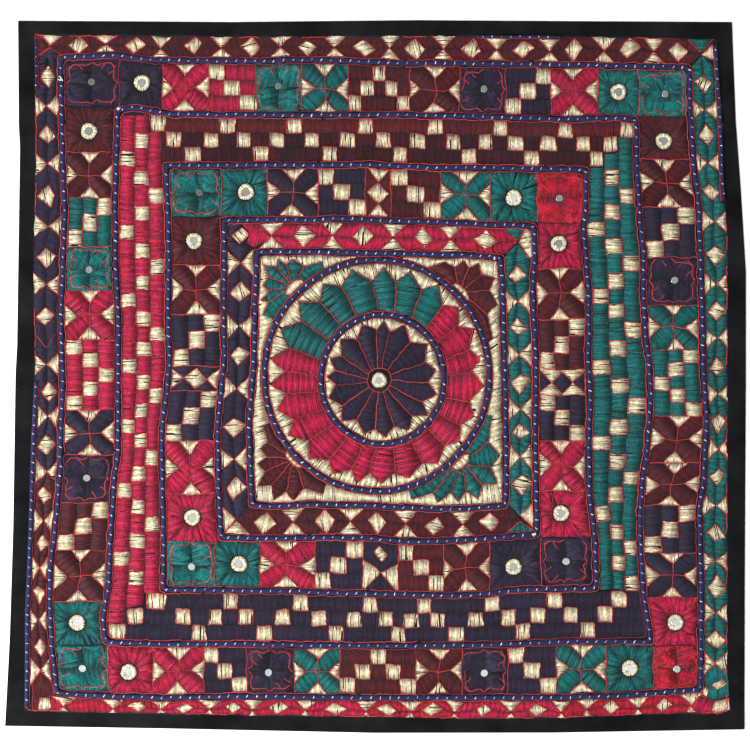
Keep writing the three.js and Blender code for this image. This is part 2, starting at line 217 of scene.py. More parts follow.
for line in LINES:
    print(line, "runs", round(np.linalg.norm(np.diff(loop_points(line), axis=0), axis=1).sum()), "mm")

# %% [markdown]
# ## A place in a band
# A motif is drawn in a band by two numbers: how far along the side it is, clockwise, and how far
# across the band, from 0 at the outer line to 1 at the inner line. `band_place` turns the two into a
# place on the cloth, so a motif bows with the band as it does on the real cloth.

# %% Bands
ALONG = {"top": (1, 0), "right": (0, -1), "bottom": (-1, 0), "left": (0, 1)}
OUTWARD = {"top": (0, 1), "right": (1, 0), "bottom": (0, -1), "left": (-1, 0)}
EDGE_CORDS = {
    # cord: side, the shares of it where the cord starts and ends, the width that the border leaves in view
    "edge_cord_left_top": ("left", 0.917, 0.99, 3.4),
    "edge_cord_left_bottom": ("left", 0.01, 0.486, 5.8),
    "edge_cord_right": ("right", 0.01, 0.24, 4.6),
    "edge_cord_top": ("top", 0.65, 0.77, 3.0),
}
EDGE_CORD_MARGIN = 1.15  # from the panel's edge to the cord
CORD_AIR = 0.15  # from an edge cord to the stitches beside it


def rail(line, side, gap):
    """A function from a distance along a side to the line's outward distance there."""
    points = side_points(line, side)
    along = points @ np.array(ALONG[side])
    out = points @ np.array(OUTWARD[side])

    def reach(where):
        inset = np.zeros_like(np.asarray(where, float))
        if line == "panel_edge":
            for cord_side, first, last, width in EDGE_CORDS.values():
                if cord_side == side:
                    length = along[-1] - along[0]
                    under = (where > along[0] + first * length) & (where < along[0] + last * length)
                    inset = inset + (width + EDGE_CORD_MARGIN + CORD_AIR) * under
        return np.interp(where, along, out) + gap - inset

    return reach


def edge_cord_points(side, first, last, inset):
    """A stretch of the panel's edge, moved inwards."""
    start, end, outward = side_frame("panel_edge", side)
    shares, outs = np.array([(0.0, 0.0), *LINES["panel_edge"][side], (1.0, 0.0)]).T
    wanted = np.concatenate([[first], shares[(shares > first) & (shares < last)], [last]])
    line = start + wanted[:, None] * (end - start) + np.interp(wanted, shares, outs)[:, None] * outward
    return moved(line, -inset, closed=False)


def band_place(side, outer_line, outer_gap, inner_line, inner_gap):
    outer = rail(outer_line, side, outer_gap)
    inner = rail(inner_line, side, inner_gap)
    along = np.array(ALONG[side])
    outward = np.array(OUTWARD[side])

    def place(where, across):
        where, across = np.broadcast_arrays(np.asarray(where, float), np.asarray(across, float))
        out = outer(where) * (1 - across) + inner(where) * across
        return where[..., None] * along + out[..., None] * outward

    return place


print("A place in the top band:", band_place("top", "cord_1", -CHANNEL, "cord_2", CHANNEL)(0.0, 0.5))

# %% [markdown]
# ## Hand-drawn unevenness
# The motifs were drawn by hand on the cloth. Slow waves move every outline by about a millimetre.
# Because it depends on the place alone, patches that share an edge still share it.

# %% Unevenness
WAVES = rng.uniform(-1, 1, (2, 5, 3))
WAVE_LENGTHS = [61.0, 43.0, 29.0, 21.0, 15.0]
WAVE_HEIGHT = 0.42


def wobble(points, amount=1.0):
    points = np.asarray(points, float)
    shift = np.zeros_like(points)
    for axis in range(2):
        for (cx, cy, phase), length in zip(WAVES[axis], WAVE_LENGTHS):
            turn = (points[..., 0] * cx + points[..., 1] * cy) * 2 * np.pi / length + 6 * phase
            shift[..., axis] += WAVE_HEIGHT * np.sin(turn)
    return points + amount * shift


# %% [markdown]
# ## Satin stitch
# Satin stitch fills a shape with straight threads side by side, from edge to edge. `patch` does it
# as a hand would: it walks across the shape by the width of a thread, finds where the shape starts
# and ends there, and notes one thread. Mirrors are left out. Only the middle, the turn, the length,
# the width and the tint of each thread are kept here. Geometry Nodes make the threads from them.

# %% Satin stitch
MIRRORS = [
    ("star", -397.5, 412.4), ("ring", -326.9, 411.4), ("star", -136.1, 406.8), ("star", 151.9, 402.6),
    ("ring", 340.1, 398.4), ("star", 405.3, 395.6), ("ring", 403.5, 329.8), ("star", 418.7, 134.9),
    ("ring", 420, -344.3), ("star", 421.8, -409.4), ("ring", 356, -408.3), ("star", 152.3, -415),
    ("star", -149.8, -414.3), ("ring", -345.4, -413.6), ("star", -410.3, -408.6), ("ring", -417.5, -344.5),
    ("star", -404.2, -142), ("star", -401, 149.6), ("ring", -401.1, 343.6), ("star", -246.7, 257.4),
    ("ring", -181.3, 258.4), ("ring", 193.6, 250.1), ("star", 257.5, 249.7), ("ring", 256.5, 186.3),
    ("ring", 260.1, -191.3), ("star", 266.8, -258.8), ("ring", 193.3, -266.5), ("ring", -190.8, -262.3),
    ("star", -257.5, -266.3), ("ring", -256.3, -196.9), ("ring", -253.8, 190.2), ("centre", 5.2, -5.1),
]
MIRROR_RADIUS = {"star": 4.9, "ring": 5.5, "centre": 5.2}
WELL_RADIUS = {"star": 5.1, "ring": 12.7, "centre": 16.3}
WELLS = [((x, y), (WELL_RADIUS[kind], WELL_RADIUS[kind]), 0.0) for kind, x, y in MIRRORS]
MIRROR_PLACES = np.array([(x, y) for _, x, y in MIRRORS])
CREAM_TONE = 0.55
PITCH = {"cream": 1.06, "crimson": 1.2, "scarlet": 1.2, "plum": 1.2, "maroon": 1.2, "teal": 1.2}
SKIPPED = {"cream": 0.12, "crimson": 0.02, "scarlet": 0.03, "plum": 0.01, "maroon": 0.015, "teal": 0.02}
LONGEST = 42.0  # a longer thread would hang loose, so it is split in two
SHORTEST = 0.9
END_GAP = 0.2  # from an outline to the ends of its threads
threads = {colour: [] for colour in PITCH}


def free_parts(start, end, origin, way, holes):
    """What is left of a stretch of a straight thread once the holes are taken out."""
    parts = [(start, end)]
    for centre, radii, turn in holes:
        cos, sin = np.cos(turn), np.sin(turn)
        spin = np.array([[cos, sin], [-sin, cos]])
        p = spin @ (origin - np.array(centre)) / np.array(radii)
        d = spin @ way / np.array(radii)
        a, b, c = d @ d, p @ d, p @ p - 1
        inside = b * b - a * c
        if inside <= 0:
            continue
        low, high = (-b - inside**0.5) / a, (-b + inside**0.5) / a
        parts = [
            piece
            for first, last in parts
            for piece in ((first, min(last, low)), (max(first, high), last))
            if piece[1] > piece[0]
        ]
    return parts


def patch(colour, shape, turn, tone=0.5, holes=(), lift=0.0, loose=1.0):
    """Fills a shape with satin threads that run at a turn, in radians."""
    shape = wobble(shape)
    way = np.array([np.cos(turn), np.sin(turn)])
    side = np.array([-way[1], way[0]])
    along = shape @ way
    across = shape @ side
    middle = shape.mean(axis=0)
    size = np.linalg.norm(shape - middle, axis=1).max()
    near = [hole for hole in WELLS if np.hypot(*(np.array(hole[0]) - middle)) < size + hole[1][0]]
    next_along = np.roll(along, -1)
    next_across = np.roll(across, -1)
    pitch = PITCH[colour]
    rows = np.arange(across.min() + 0.3 * pitch, across.max() - 0.1, pitch)
    bunch = 0.3 * loose * np.sin(rows * rng.uniform(0.5, 0.9) + rng.uniform(0, 6))
    rows = rows + bunch + rng.normal(0, 0.07, len(rows))
    tints = tone + rng.normal(0, 0.1 if colour in ("plum", "maroon") else 0.19, len(rows))
    for row, tint in zip(rows, tints):
        # A slack thread leaves a dark gap, along all of its way or only a part of it
        slack = rng.random() < SKIPPED[colour] * loose
        if slack and rng.random() < 0.3:
            continue
        low_cut, high_cut = rng.permutation([0.0, rng.uniform(0.15, 0.75)]) if slack else (0, 0)
        crosses = (across > row) != (next_across > row)
        if not crosses.any():
            continue
        a0, c0 = along[crosses], across[crosses]
        a1, c1 = next_along[crosses], next_across[crosses]
        ends = np.sort(a0 + (row - c0) / (c1 - c0) * (a1 - a0))
        for start, end in zip(ends[0::2], ends[1::2]):
            origin = side * row
            for first, last in free_parts(start, end, origin, way, [*near, *holes]):
                length = last - first
                first, last = first + END_GAP + low_cut * length, last - END_GAP - high_cut * length
                if last - first < SHORTEST:
                    continue
                cuts = [first, last]
                if last - first > LONGEST:
                    cuts = [first, first + (last - first) * rng.uniform(0.4, 0.6), last]
                for low, high in zip(cuts[:-1], cuts[1:]):
                    x, y = origin + way * (low + high) / 2
                    girth = pitch * (0.92 if colour == "cream" else 1.08) * rng.uniform(0.9, 1.1)
                    lean = turn + rng.normal(0, 0.018)
                    threads[colour].append((x, y, STITCH_ROOT + lift, lean, high - low, girth, tint))


# %% [markdown]
# ## Red outlines
# Every motif is edged with a red thread, laid on the cloth and held by tiny stitches. It wanders a
# little, and here and there it is broken. `outline` only notes the way. One Geometry Nodes tree
# turns all the ways into threads later.

# %% Outlines
RED_STEP = 4.6
red_ways = []


def outline(points, closed=False, amount=1.0, shake=0.28):
    points = np.asarray(points, float)
    way = wobble(spread(points, RED_STEP, closed), amount)
    way = way + rng.normal(0, shake, way.shape)
    red_ways.append((way, closed))


def rounded(way, times=2):
    """A closed way with its corners rounded, as a cord that is bent by hand."""
    for _ in range(times):
        way = (np.roll(way, 1, axis=0) + 2 * way + np.roll(way, -1, axis=0)) / 4
    return way


def broken_outline(points, amount, bare, longest=70):
    """A long closed outline with worn gaps: bare is the gap's length after each run, as a share."""
    way = rounded(spread(np.asarray(points, float), RED_STEP, closed=True))
    way = np.concatenate([way, way[:1]])
    start = 0
    while start < len(way) - 2:
        run = int(rng.uniform(0.17, 1) * longest)
        piece = way[start : start + run + 1]
        if len(piece) > 2:
            red_ways.append((wobble(piece, amount) + rng.normal(0, 0.5, piece.shape), False))
        start += run + int(run * bare * rng.uniform(0.3, 1.7))


# %% [markdown]
# ## Drawing inside a cell
# A cell is one square of a band. Its motifs are drawn in shares of the cell: along it, and from its
# outer line to its inner line.

# %% Cell helpers
def fine_edges(corners, parts=5):
    """The corners with points between them, so that a straight edge can bow with its band."""
    corners = np.asarray(corners, float)
    ends = np.roll(corners, -1, axis=0)
    steps = np.arange(parts)[:, None] / parts
    return np.concatenate([a + steps * (b - a) for a, b in zip(corners, ends)])


def make_cell(place, start, width):
    return lambda shares: place(start + np.asarray(shares, float)[..., 0] * width, np.asarray(shares)[..., 1])


def heading(cell, shares, way):
    """The turn of the threads at a place in a cell: across the band or along it."""
    step = np.array([0.0, 0.05] if way == "across" else [0.05, 0.0])
    return turn_of(cell(shares + step) - cell(shares - step))


def cell_patch(cell, corners, colour, way, tone=0.5, slant=0.0, **more):
    corners = np.asarray(corners, float)
    turn = heading(cell, corners.mean(axis=0), way) + slant
    patch(colour, cell(fine_edges(corners)), turn, tone, **more)


def cell_outline(cell, corners, closed=True):
    corners = np.asarray(corners, float)
    shares = fine_edges(corners) if closed else spread(corners, 0.12)
    outline(cell(shares), closed)


# %% [markdown]
# ## The seven motifs of the two wide bands
# The bands hold seven old motifs: a star and a ring, each round a mirror, a flower of four petals, a
# little check of three by three squares, a stepped arch, an hourglass and a lantern. Each is a few
# outlines in a cell, and the direction of its threads makes it catch the light in its own way.

# %% Star, ring and flower
SIDE_WAYS = ["across", "along", "across", "along"]  # how threads run that point away from each side
FARTHEST_MIRROR = 20  # a mirror farther than this from a cell's middle belongs to another cell


def middle_of(cell):
    """The cell's mirror, or its own middle where it has none."""
    middle = cell(np.array([0.5, 0.5]))
    far = np.linalg.norm(MIRROR_PLACES - middle, axis=1)
    return MIRROR_PLACES[far.argmin()] if far.min() < FARTHEST_MIRROR else middle


def to_share(cell, point):
    """The shares of a cell at which a place lies, found by a few corrections."""
    shares = np.array([0.5, 0.5])
    step = 0.02
    for _ in range(6):
        here = cell(shares)
        grad_a = (cell(shares + [step, 0]) - here) / step
        grad_v = (cell(shares + [0, step]) - here) / step
        shares = shares + np.linalg.solve(np.stack([grad_a, grad_v], 1), point - here)
    return shares


# A cell's corners, clockwise. Beside one of its sides, as shares along it and depths: the lens of
# satin, the pieces of its scallops, and the outline of a small blot
SQUARE = np.array([(0, 0), (1, 0), (1, 1), (0, 1)], float)
LENS = [(0.08, 0.01), (0.28, 0.13), (0.5, 0.03), (0.72, 0.14), (0.92, 0.01)]
BLOT = np.array([(-0.13, -0.07), (0.02, -0.12), (0.14, 0.0), (0.03, 0.11), (-0.1, 0.08)])
SCALLOPS = [
    [(0.07, 0.16), (0.12, 0.09), (0.27, 0.07), (0.41, 0.11), (0.5, 0.04)],
    [(0.5, 0.04), (0.6, 0.11), (0.76, 0.07), (0.89, 0.09), (0.93, 0.16)],
    [(0.27, 0.07), (0.29, 0.15), (0.37, 0.22)],
    [(0.76, 0.07), (0.72, 0.14), (0.65, 0.2)],
]


def side_to_share(which, share, depth):
    """A place beside one side of the square, by its share along that side and its depth."""
    start, end = SQUARE[which], SQUARE[(which + 1) % 4]
    inward = np.array([(0, 1), (-1, 0), (0, -1), (1, 0)][which], float)
    return start + (end - start) * share + inward * depth


def star(cell, colour, tone):
    """Four mottled quarters round the mirror, a lens of satin on each side, and broken scallops."""
    hub = to_share(cell, middle_of(cell))
    halves = [np.array(point) for point in ((0.5, 0), (1, 0.5), (0.5, 1), (0, 0.5))]
    for which, corner in enumerate(SQUARE):
        way = "along" if rng.random() < 0.5 else "across"
        shade = tone + rng.uniform(-0.2, 0.1)
        quarter = [hub, halves[which - 1], corner, halves[which]]
        cell_patch(cell, quarter, colour, way, shade, rng.uniform(-0.5, 0.5), loose=1.5)
        lens = [side_to_share(which, *place) for place in LENS]
        lighter = tone + rng.uniform(0.0, 0.25)
        cell_patch(cell, lens, colour, SIDE_WAYS[which], lighter, rng.uniform(-0.3, 0.3), lift=0.35)
        for _ in range(3):
            spot = hub + (corner - hub) * rng.uniform(0.3, 0.75) + rng.normal(0, 0.05, 2)
            patchy = shade + rng.uniform(-0.3, 0.4)
            cell_patch(cell, spot + BLOT, colour, way, patchy, rng.uniform(0.6, 1.2), lift=0.3)
        for part in SCALLOPS:
            if rng.random() < (0.5 if len(part) == 3 else 0.9):
                sway = rng.uniform(-0.03, 0.03)
                steps = [side_to_share(which, a + sway, d + rng.uniform(-0.015, 0.015)) for a, d in part]
                cell_outline(cell, steps, closed=False)


def ring(cell, colour, tone):
    """Eight wedges of satin whose threads point at the mirror."""
    hub = to_share(cell, middle_of(cell))
    for which in range(4):
        # Painted shade: the two wedges on the inner side get a darker tint and the other six a lighter one,
        # as satin running another way catches the light differently
        shade = tone + (-0.08 if which == 2 else 0.04) + rng.uniform(-0.04, 0.04)
        corner, end = SQUARE[which], SQUARE[(which + 1) % 4]
        half = corner + (end - corner) * rng.uniform(0.4, 0.6)
        for near, far in ((corner, half), (half, end)):
            turn = turn_of(cell(near * 0.35 + far * 0.35 + half * 0.3) - cell(hub))
            wedge = cell(fine_edges([hub, near, far]))
            patch(colour, wedge, turn, shade + rng.uniform(-0.05, 0.05), loose=1.6)


def flower(cell, colour, tone):
    """Four petals between the corners, with a cream triangle on each side of the cell."""
    hub = np.array([0.5, 0.5]) + rng.uniform(-0.03, 0.03, 2)
    tips = []
    bases = []
    for which in range(4):
        half = rng.uniform(0.2, 0.25)
        at = 0.5 + rng.uniform(-0.03, 0.03)
        tip = side_to_share(which, at, rng.uniform(0.23, 0.29))
        base = [side_to_share(which, at - half, 0.0), side_to_share(which, at + half, 0.0)]
        cell_patch(cell, [*base, tip], "cream", SIDE_WAYS[which], CREAM_TONE, rng.uniform(-0.12, 0.12))
        cell_outline(cell, [base[0], tip, base[1]], closed=False)
        cell_outline(cell, [tip, hub], closed=False)
        tips.append(tip)
        bases.append(base)
    for which in range(4):
        petal = [hub, tips[which - 1], bases[which - 1][1], SQUARE[which], bases[which][0], tips[which]]
        lean = (np.pi / 4 if which % 2 else -np.pi / 4) * rng.uniform(0.5, 1.1)
        cell_patch(cell, petal, colour, "across", tone + rng.uniform(-0.1, 0.1), slant=lean, loose=1.4)


# %% Check, arch, hourglass and lantern
def box_of(left, right, low, high):
    """The corners of a box in a cell, clockwise."""
    return [(left, low), (right, low), (right, high), (left, high)]


def grid_cell(cell, columns, rows, creams, colour, tone):
    """A grid of squares, some of them cream. The squares between two creams run together."""
    for row in range(rows):
        low, high = row / rows, (row + 1) / rows
        run_start = 0
        for column in range(columns + 1):
            is_cream = (column, row) in creams
            if (is_cream or column == columns) and column > run_start:
                box = box_of(run_start / columns, column / columns, low, high)
                cell_patch(cell, box, colour, "across", tone + rng.uniform(-0.07, 0.07))
            if is_cream:
                box = box_of(column / columns, (column + 1) / columns, low, high)
                cell_patch(cell, box, "cream", "across", CREAM_TONE)
                cell_outline(cell, box)
                run_start = column + 1


def check(cell, colour, tone, rising=False):
    creams = {(0, 2), (1, 1), (2, 0)} if rising else {(0, 0), (1, 1), (2, 2)}
    grid_cell(cell, 3, 3, creams, colour, tone)


def arch(cell, colour, tone, apex_out=False):
    steps = {(2, 0), (1, 1), (3, 1), (0, 2), (4, 2)}
    if not apex_out:
        steps = {(column, 2 - row) for column, row in steps}
    grid_cell(cell, 5, 3, steps, colour, tone)


def hourglass(cell, colour, tone, swapped=False):
    shapes = [
        [(0.08, 0), (0.92, 0), (0.5, 0.27)],
        [(0.5, 0.27), (0.93, 0.5), (0.5, 0.73), (0.07, 0.5)],
        [(0.08, 1), (0.5, 0.73), (0.92, 1)],
    ]
    gaps = [
        [(0, 0), (0.08, 0), (0.5, 0.27), (0.07, 0.5), (0, 0.5)],
        [(0, 0.5), (0.07, 0.5), (0.5, 0.73), (0.08, 1), (0, 1)],
        [(1, 0), (1, 0.5), (0.93, 0.5), (0.5, 0.27), (0.92, 0)],
        [(1, 0.5), (1, 1), (0.92, 1), (0.5, 0.73), (0.93, 0.5)],
    ]
    fills = [(colour, tone), ("cream", CREAM_TONE)]
    (inside, inside_tone), (outside, outside_tone) = fills if swapped else fills[::-1]
    for shape in shapes:
        cell_patch(cell, shape, inside, "across", inside_tone)
        cell_outline(cell, shape)
    for gap in gaps:
        cell_patch(cell, gap, outside, "across", outside_tone)


def lantern(cell, colour, tone):
    """A coloured top with a small diamond in it, two cream triangles and a coloured foot."""
    cross = (0.5, 0.37)
    small = np.array([(0.3, 0.77), (0.5, 0.58), (0.71, 0.78), (0.52, 0.95)])
    left, low, right, high = small
    for part in ([(0, 1), (0, 0.58), cross, low, left, high, (0.5, 1)],
                 [(0.5, 1), high, right, low, cross, (1, 0.6), (1, 1)],
                 [(0.06, 0), cross, (0.93, 0)]):
        cell_patch(cell, part, colour, "across", tone + rng.uniform(-0.08, 0.08))
    for triangle in ([(0, 0.58), cross, (0.06, 0), (0, 0)], [(1, 0.6), cross, (0.93, 0), (1, 0)]):
        cell_patch(cell, triangle, "cream", "across", CREAM_TONE, rng.uniform(-0.1, 0.1))
        cell_outline(cell, triangle[:3], closed=False)
    cell_patch(cell, small, "cream", "along", CREAM_TONE, 0.4)
    cell_outline(cell, small)


MOTIFS = {
    "star": star, "ring": ring, "flower": flower, "check": check, "arch": arch, "hourglass": hourglass,
    "lantern": lantern,
}

# %% [markdown]
# ## The order of the motifs
# No two of these bands are the same. Each side lists its cells clockwise: the motif, its thread, and
# the cell's width in millimetres. A word at the end turns a motif round.

# %% Motif bands
OUTER_CELLS = {
    "top": (-434.7, [
        ("star", "plum", 76), ("ring", "plum", 61), ("flower", "crimson", 64), ("check", "crimson", 66),
        ("star", "teal", 64), ("flower", "teal", 66), ("arch", "maroon", 86, "apex_out"),
        ("flower", "maroon", 70), ("star", "plum", 64), ("check", "plum", 63, "rising"),
        ("flower", "crimson", 66), ("ring", "teal", 58), ("star", "teal", 67),
    ]),
    "right": (-365.0, [
        ("ring", "maroon", 61), ("flower", "maroon", 67), ("check", "plum", 70), ("star", "plum", 67),
        ("flower", "teal", 63), ("arch", "teal", 92), ("flower", "maroon", 66), ("flower", "maroon", 59),
        ("check", "plum", 67), ("flower", "plum", 62), ("ring", "crimson", 67),
    ]),
    "bottom": (-451.5, [
        ("star", "scarlet", 62), ("ring", "teal", 67), ("flower", "teal", 70), ("check", "plum", 67),
        ("star", "plum", 64), ("flower", "maroon", 65), ("arch", "maroon", 106), ("flower", "teal", 64),
        ("star", "plum", 67), ("check", "plum", 60), ("flower", "crimson", 71), ("ring", "crimson", 62),
        ("star", "teal", 71),
    ]),
    "left": (-375.6, [
        ("ring", "teal", 61), ("flower", "maroon", 72), ("check", "maroon", 66), ("star", "plum", 67),
        ("flower", "plum", 63), ("arch", "crimson", 98), ("flower", "crimson", 69), ("star", "teal", 61),
        ("check", "teal", 69), ("flower", "maroon", 64), ("ring", "maroon", 63),
    ]),
}
INNER_CELLS = {
    "top": (-286.3, [
        ("star", "teal", 71), ("ring", "teal", 64), ("flower", "plum", 71), ("check", "plum", 66),
        ("hourglass", "maroon", 36), ("check", "maroon", 69), ("flower", "teal", 70), ("ring", "teal", 66),
        ("star", "scarlet", 66),
    ]),
    "right": (-215.0, [
        ("ring", "crimson", 64), ("flower", "maroon", 71), ("check", "maroon", 70),
        ("hourglass", "plum", 36, "swapped"), ("check", "plum", 64, "rising"), ("flower", "crimson", 70),
        ("ring", "crimson", 65),
    ]),
    "bottom": (-300.3, [
        ("star", "plum", 69), ("ring", "plum", 72), ("flower", "maroon", 64), ("check", "maroon", 63),
        ("lantern", "plum", 50), ("check", "plum", 67, "rising"), ("flower", "crimson", 77),
        ("ring", "teal", 63), ("star", "teal", 67),
    ]),
    "left": (-233.0, [
        ("ring", "crimson", 69), ("flower", "crimson", 74), ("check", "plum", 70), ("hourglass", "plum", 35),
        ("check", "plum", 72), ("flower", "maroon", 69), ("ring", "maroon", 67),
    ]),
}


def motif_band(cells, outer_line, inner_line):
    for side, (start, row) in cells.items():
        place = band_place(side, outer_line, -CHANNEL, inner_line, CHANNEL)
        where = start
        for number, (motif, colour, width, *turned) in enumerate(row):
            cell = make_cell(place, where, width)
            MOTIFS[motif](cell, colour, rng.uniform(0.42, 0.6), **{word: True for word in turned})
            if number:
                outline(place(np.full(8, where), np.linspace(0, 1, 8)))
            where += width
        print(outer_line, side, "ends at", round(where, 1))


motif_band(OUTER_CELLS, "cord_1", "cord_2")
motif_band(INNER_CELLS, "cord_3", "cord_4")

# %% [markdown]
# ## The diamond bands
# Long hexagons in one colour follow each other and meet in points on the middle of the band. Cream
# triangles fill the gaps from both sides, and each hexagon has a small cream diamond in it.

# %% Diamond bands
# Start of the row, then its hexagons clockwise: their thread, their widths, and a word for odd ones
OUTER_DIAMONDS = {
    "top": (-454.3, [("maroon", [77, 78, 84, 83, 76, 77, 74, 74, 74, 77, 70, 66])]),
    "right": (-447.4, [("teal", [74, 74, 82, 88, 76, 78, 76, 80, 78, 72, 71])]),
    "bottom": (-443.1, [
        ("scarlet", [76, 71]), ("scarlet", [36], "plain"), ("crimson", [71, 78]), ("scarlet", [62, 62]),
        ("crimson", [85, 74, 61, 67]), ("scarlet", [67]), ("scarlet", [69], "plain"),
    ]),
    "left": (-412.2, [
        ("maroon", [71, 73, 67, 69]), ("plum", [76, 73]), ("plum", [112], "long"), ("plum", [82, 87, 81, 77]),
    ]),
}
INNER_DIAMONDS = {
    "top": (-145.6, [("crimson", [86, 85, 80, 92])]),
    "right": (-182.8, [("teal", [78, 74, 76, 67, 81])]),
    "bottom": (-204.4, [("maroon", [82, 80, 77, 80, 80])]),
    "left": (-199.4, [("plum", [84, 99, 87, 88])]),
}
# By side: how far across the band the points meet, and half the base of the outer and inner triangles
OUTER_MEETING = {
    "top": (0.55, 15.5, 14), "right": (0.5, 13, 14), "bottom": (0.34, 6, 15), "left": (0.52, 16, 14),
}
INNER_MEETING = {side: (0.5, 16, 16) for side in SIDES}
DIAMOND_ALONG = 13.5
DIAMOND_ACROSS = 0.43  # as a share of the band, each way
END_SIZE = 1.15  # of the triangles at the two ends of a row
RUN_ON = 2.2  # how far a hexagon without a triangle beside it runs into the corner
RED_POINT = [(0.37, 0.06), (0.21, 0.5), (0.37, 0.94)]  # beside the diamond of the long hexagon


def hexagon(place, start, width, colour, tone, meeting, diamond=True, reach=(0, 0, 0, 0), at=0.5):
    """reach: how far it runs on at its first outer, first inner, last outer and last inner corner."""
    cell = make_cell(place, start, width)
    tip, outer_half, inner_half = meeting
    out_cut, in_cut = min(outer_half / width, 0.45), min(inner_half / width, 0.45)
    more = np.array(reach) / width
    low_out, low_in = (out_cut - more[0], 0), (in_cut - more[1], 1)
    high_out, high_in = (1 - out_cut + more[2], 0), (1 - in_cut + more[3], 1)
    low, high = (-more[:2].max(), tip), (1 + more[2:].max(), tip)
    half = DIAMOND_ALONG / width
    middle = at + rng.uniform(-0.03, 0.03)
    if not diamond:
        cell_patch(cell, [low, low_out, high_out, high, high_in, low_in], colour, "across", tone, slant=0.15)
        return
    small = np.array([(middle - half, 0.5), (middle, 0.5 - DIAMOND_ACROSS),
                      (middle + half, 0.5), (middle, 0.5 + DIAMOND_ACROSS)])
    small += rng.normal(0, 1, (4, 2)) * [2.2 / width, 0.05]
    # Four patches meet round the diamond, as a hand would work them
    left_tip, top_tip, right_tip, low_tip = small
    parts = [
        [low, low_out, (middle, 0), top_tip, left_tip],
        [(middle, 0), high_out, high, right_tip, top_tip],
        [high, high_in, (middle, 1), low_tip, right_tip],
        [(middle, 1), low_in, low, left_tip, low_tip],
    ]
    lean = rng.uniform(-0.3, 0.3)
    for part in parts:
        shade = tone + rng.uniform(-0.08, 0.08)
        cell_patch(cell, part, colour, "across", shade, lean + rng.uniform(-0.1, 0.1))
    way = "across" if rng.random() < 0.65 else "along"
    cell_patch(cell, small, "cream", way, 0.5, slant=rng.uniform(-0.3, 0.3))
    cell_outline(cell, small)


def junction(place, where, meeting, outer="cream", inner="cream", size=1.0):
    tip, *halves = meeting
    for edge, half, colour in ((0.0, halves[0], outer), (1.0, halves[1], inner)):
        if colour is None:
            continue
        half = half * size * rng.uniform(0.88, 1.08)
        cell = make_cell(place, where - half, 2 * half)
        triangle = [(0, edge), (0.5, tip), (1, edge)]
        way = "along" if rng.random() < 0.6 else "across"
        cell_patch(cell, triangle, colour, way, CREAM_TONE, rng.uniform(-0.15, 0.15))
        cell_outline(cell, triangle, closed=False)


def diamond_band(table, outer_line, outer_gap, inner_line, meetings, ends):
    """ends gives, by side, the outer and inner thread of its first and its last junction."""
    for side, (where, runs) in table.items():
        place = band_place(side, outer_line, outer_gap, inner_line, CHANNEL)
        meeting = meetings[side]
        first, last = ends[side]
        junction(place, where, meeting, *first, size=END_SIZE)
        row = [(width, colour, kind) for colour, widths, *kind in runs for width in widths]
        for number, (width, colour, kind) in enumerate(row):
            if number:
                junction(place, where, meeting)
            if "long" in kind:
                hexagon(place, where, width, colour, 0.5, meeting, at=0.6)
                cell_outline(make_cell(place, where, width), RED_POINT, closed=False)
            else:
                reach = [RUN_ON * (number == 0 and thread is None) for thread in first]
                reach += [RUN_ON * (number == len(row) - 1 and thread is None) for thread in last]
                tone = rng.uniform(0.4, 0.6)
                hexagon(place, where, width, colour, tone, meeting, "plain" not in kind, reach)
            where += width
        junction(place, where, meeting, *last, size=END_SIZE)
        print(outer_line, side, "ends at", round(where, 1))


BOTH, OUT_ONLY, NONE = ("cream", "cream"), ("cream", None), (None, None)
diamond_band(OUTER_DIAMONDS, "panel_edge", -EDGE_MARGIN, "cord_1", OUTER_MEETING, {
    "top": (OUT_ONLY, ("teal", None)), "right": (NONE, BOTH), "bottom": (BOTH, BOTH), "left": (BOTH, NONE),
})
diamond_band(INNER_DIAMONDS, "cord_4", -CHANNEL, "cord_5", INNER_MEETING, {
    "top": (BOTH, ("teal", None)), "right": (NONE, OUT_ONLY), "bottom": (("teal", None), OUT_ONLY),
    "left": (OUT_ONLY, BOTH),
})

# %% [markdown]
# ## Patches at the corners
# Where two sides meet, the hand filled what was left with odd pieces. Some are edged in red, and two
# small ones lie on top of others.

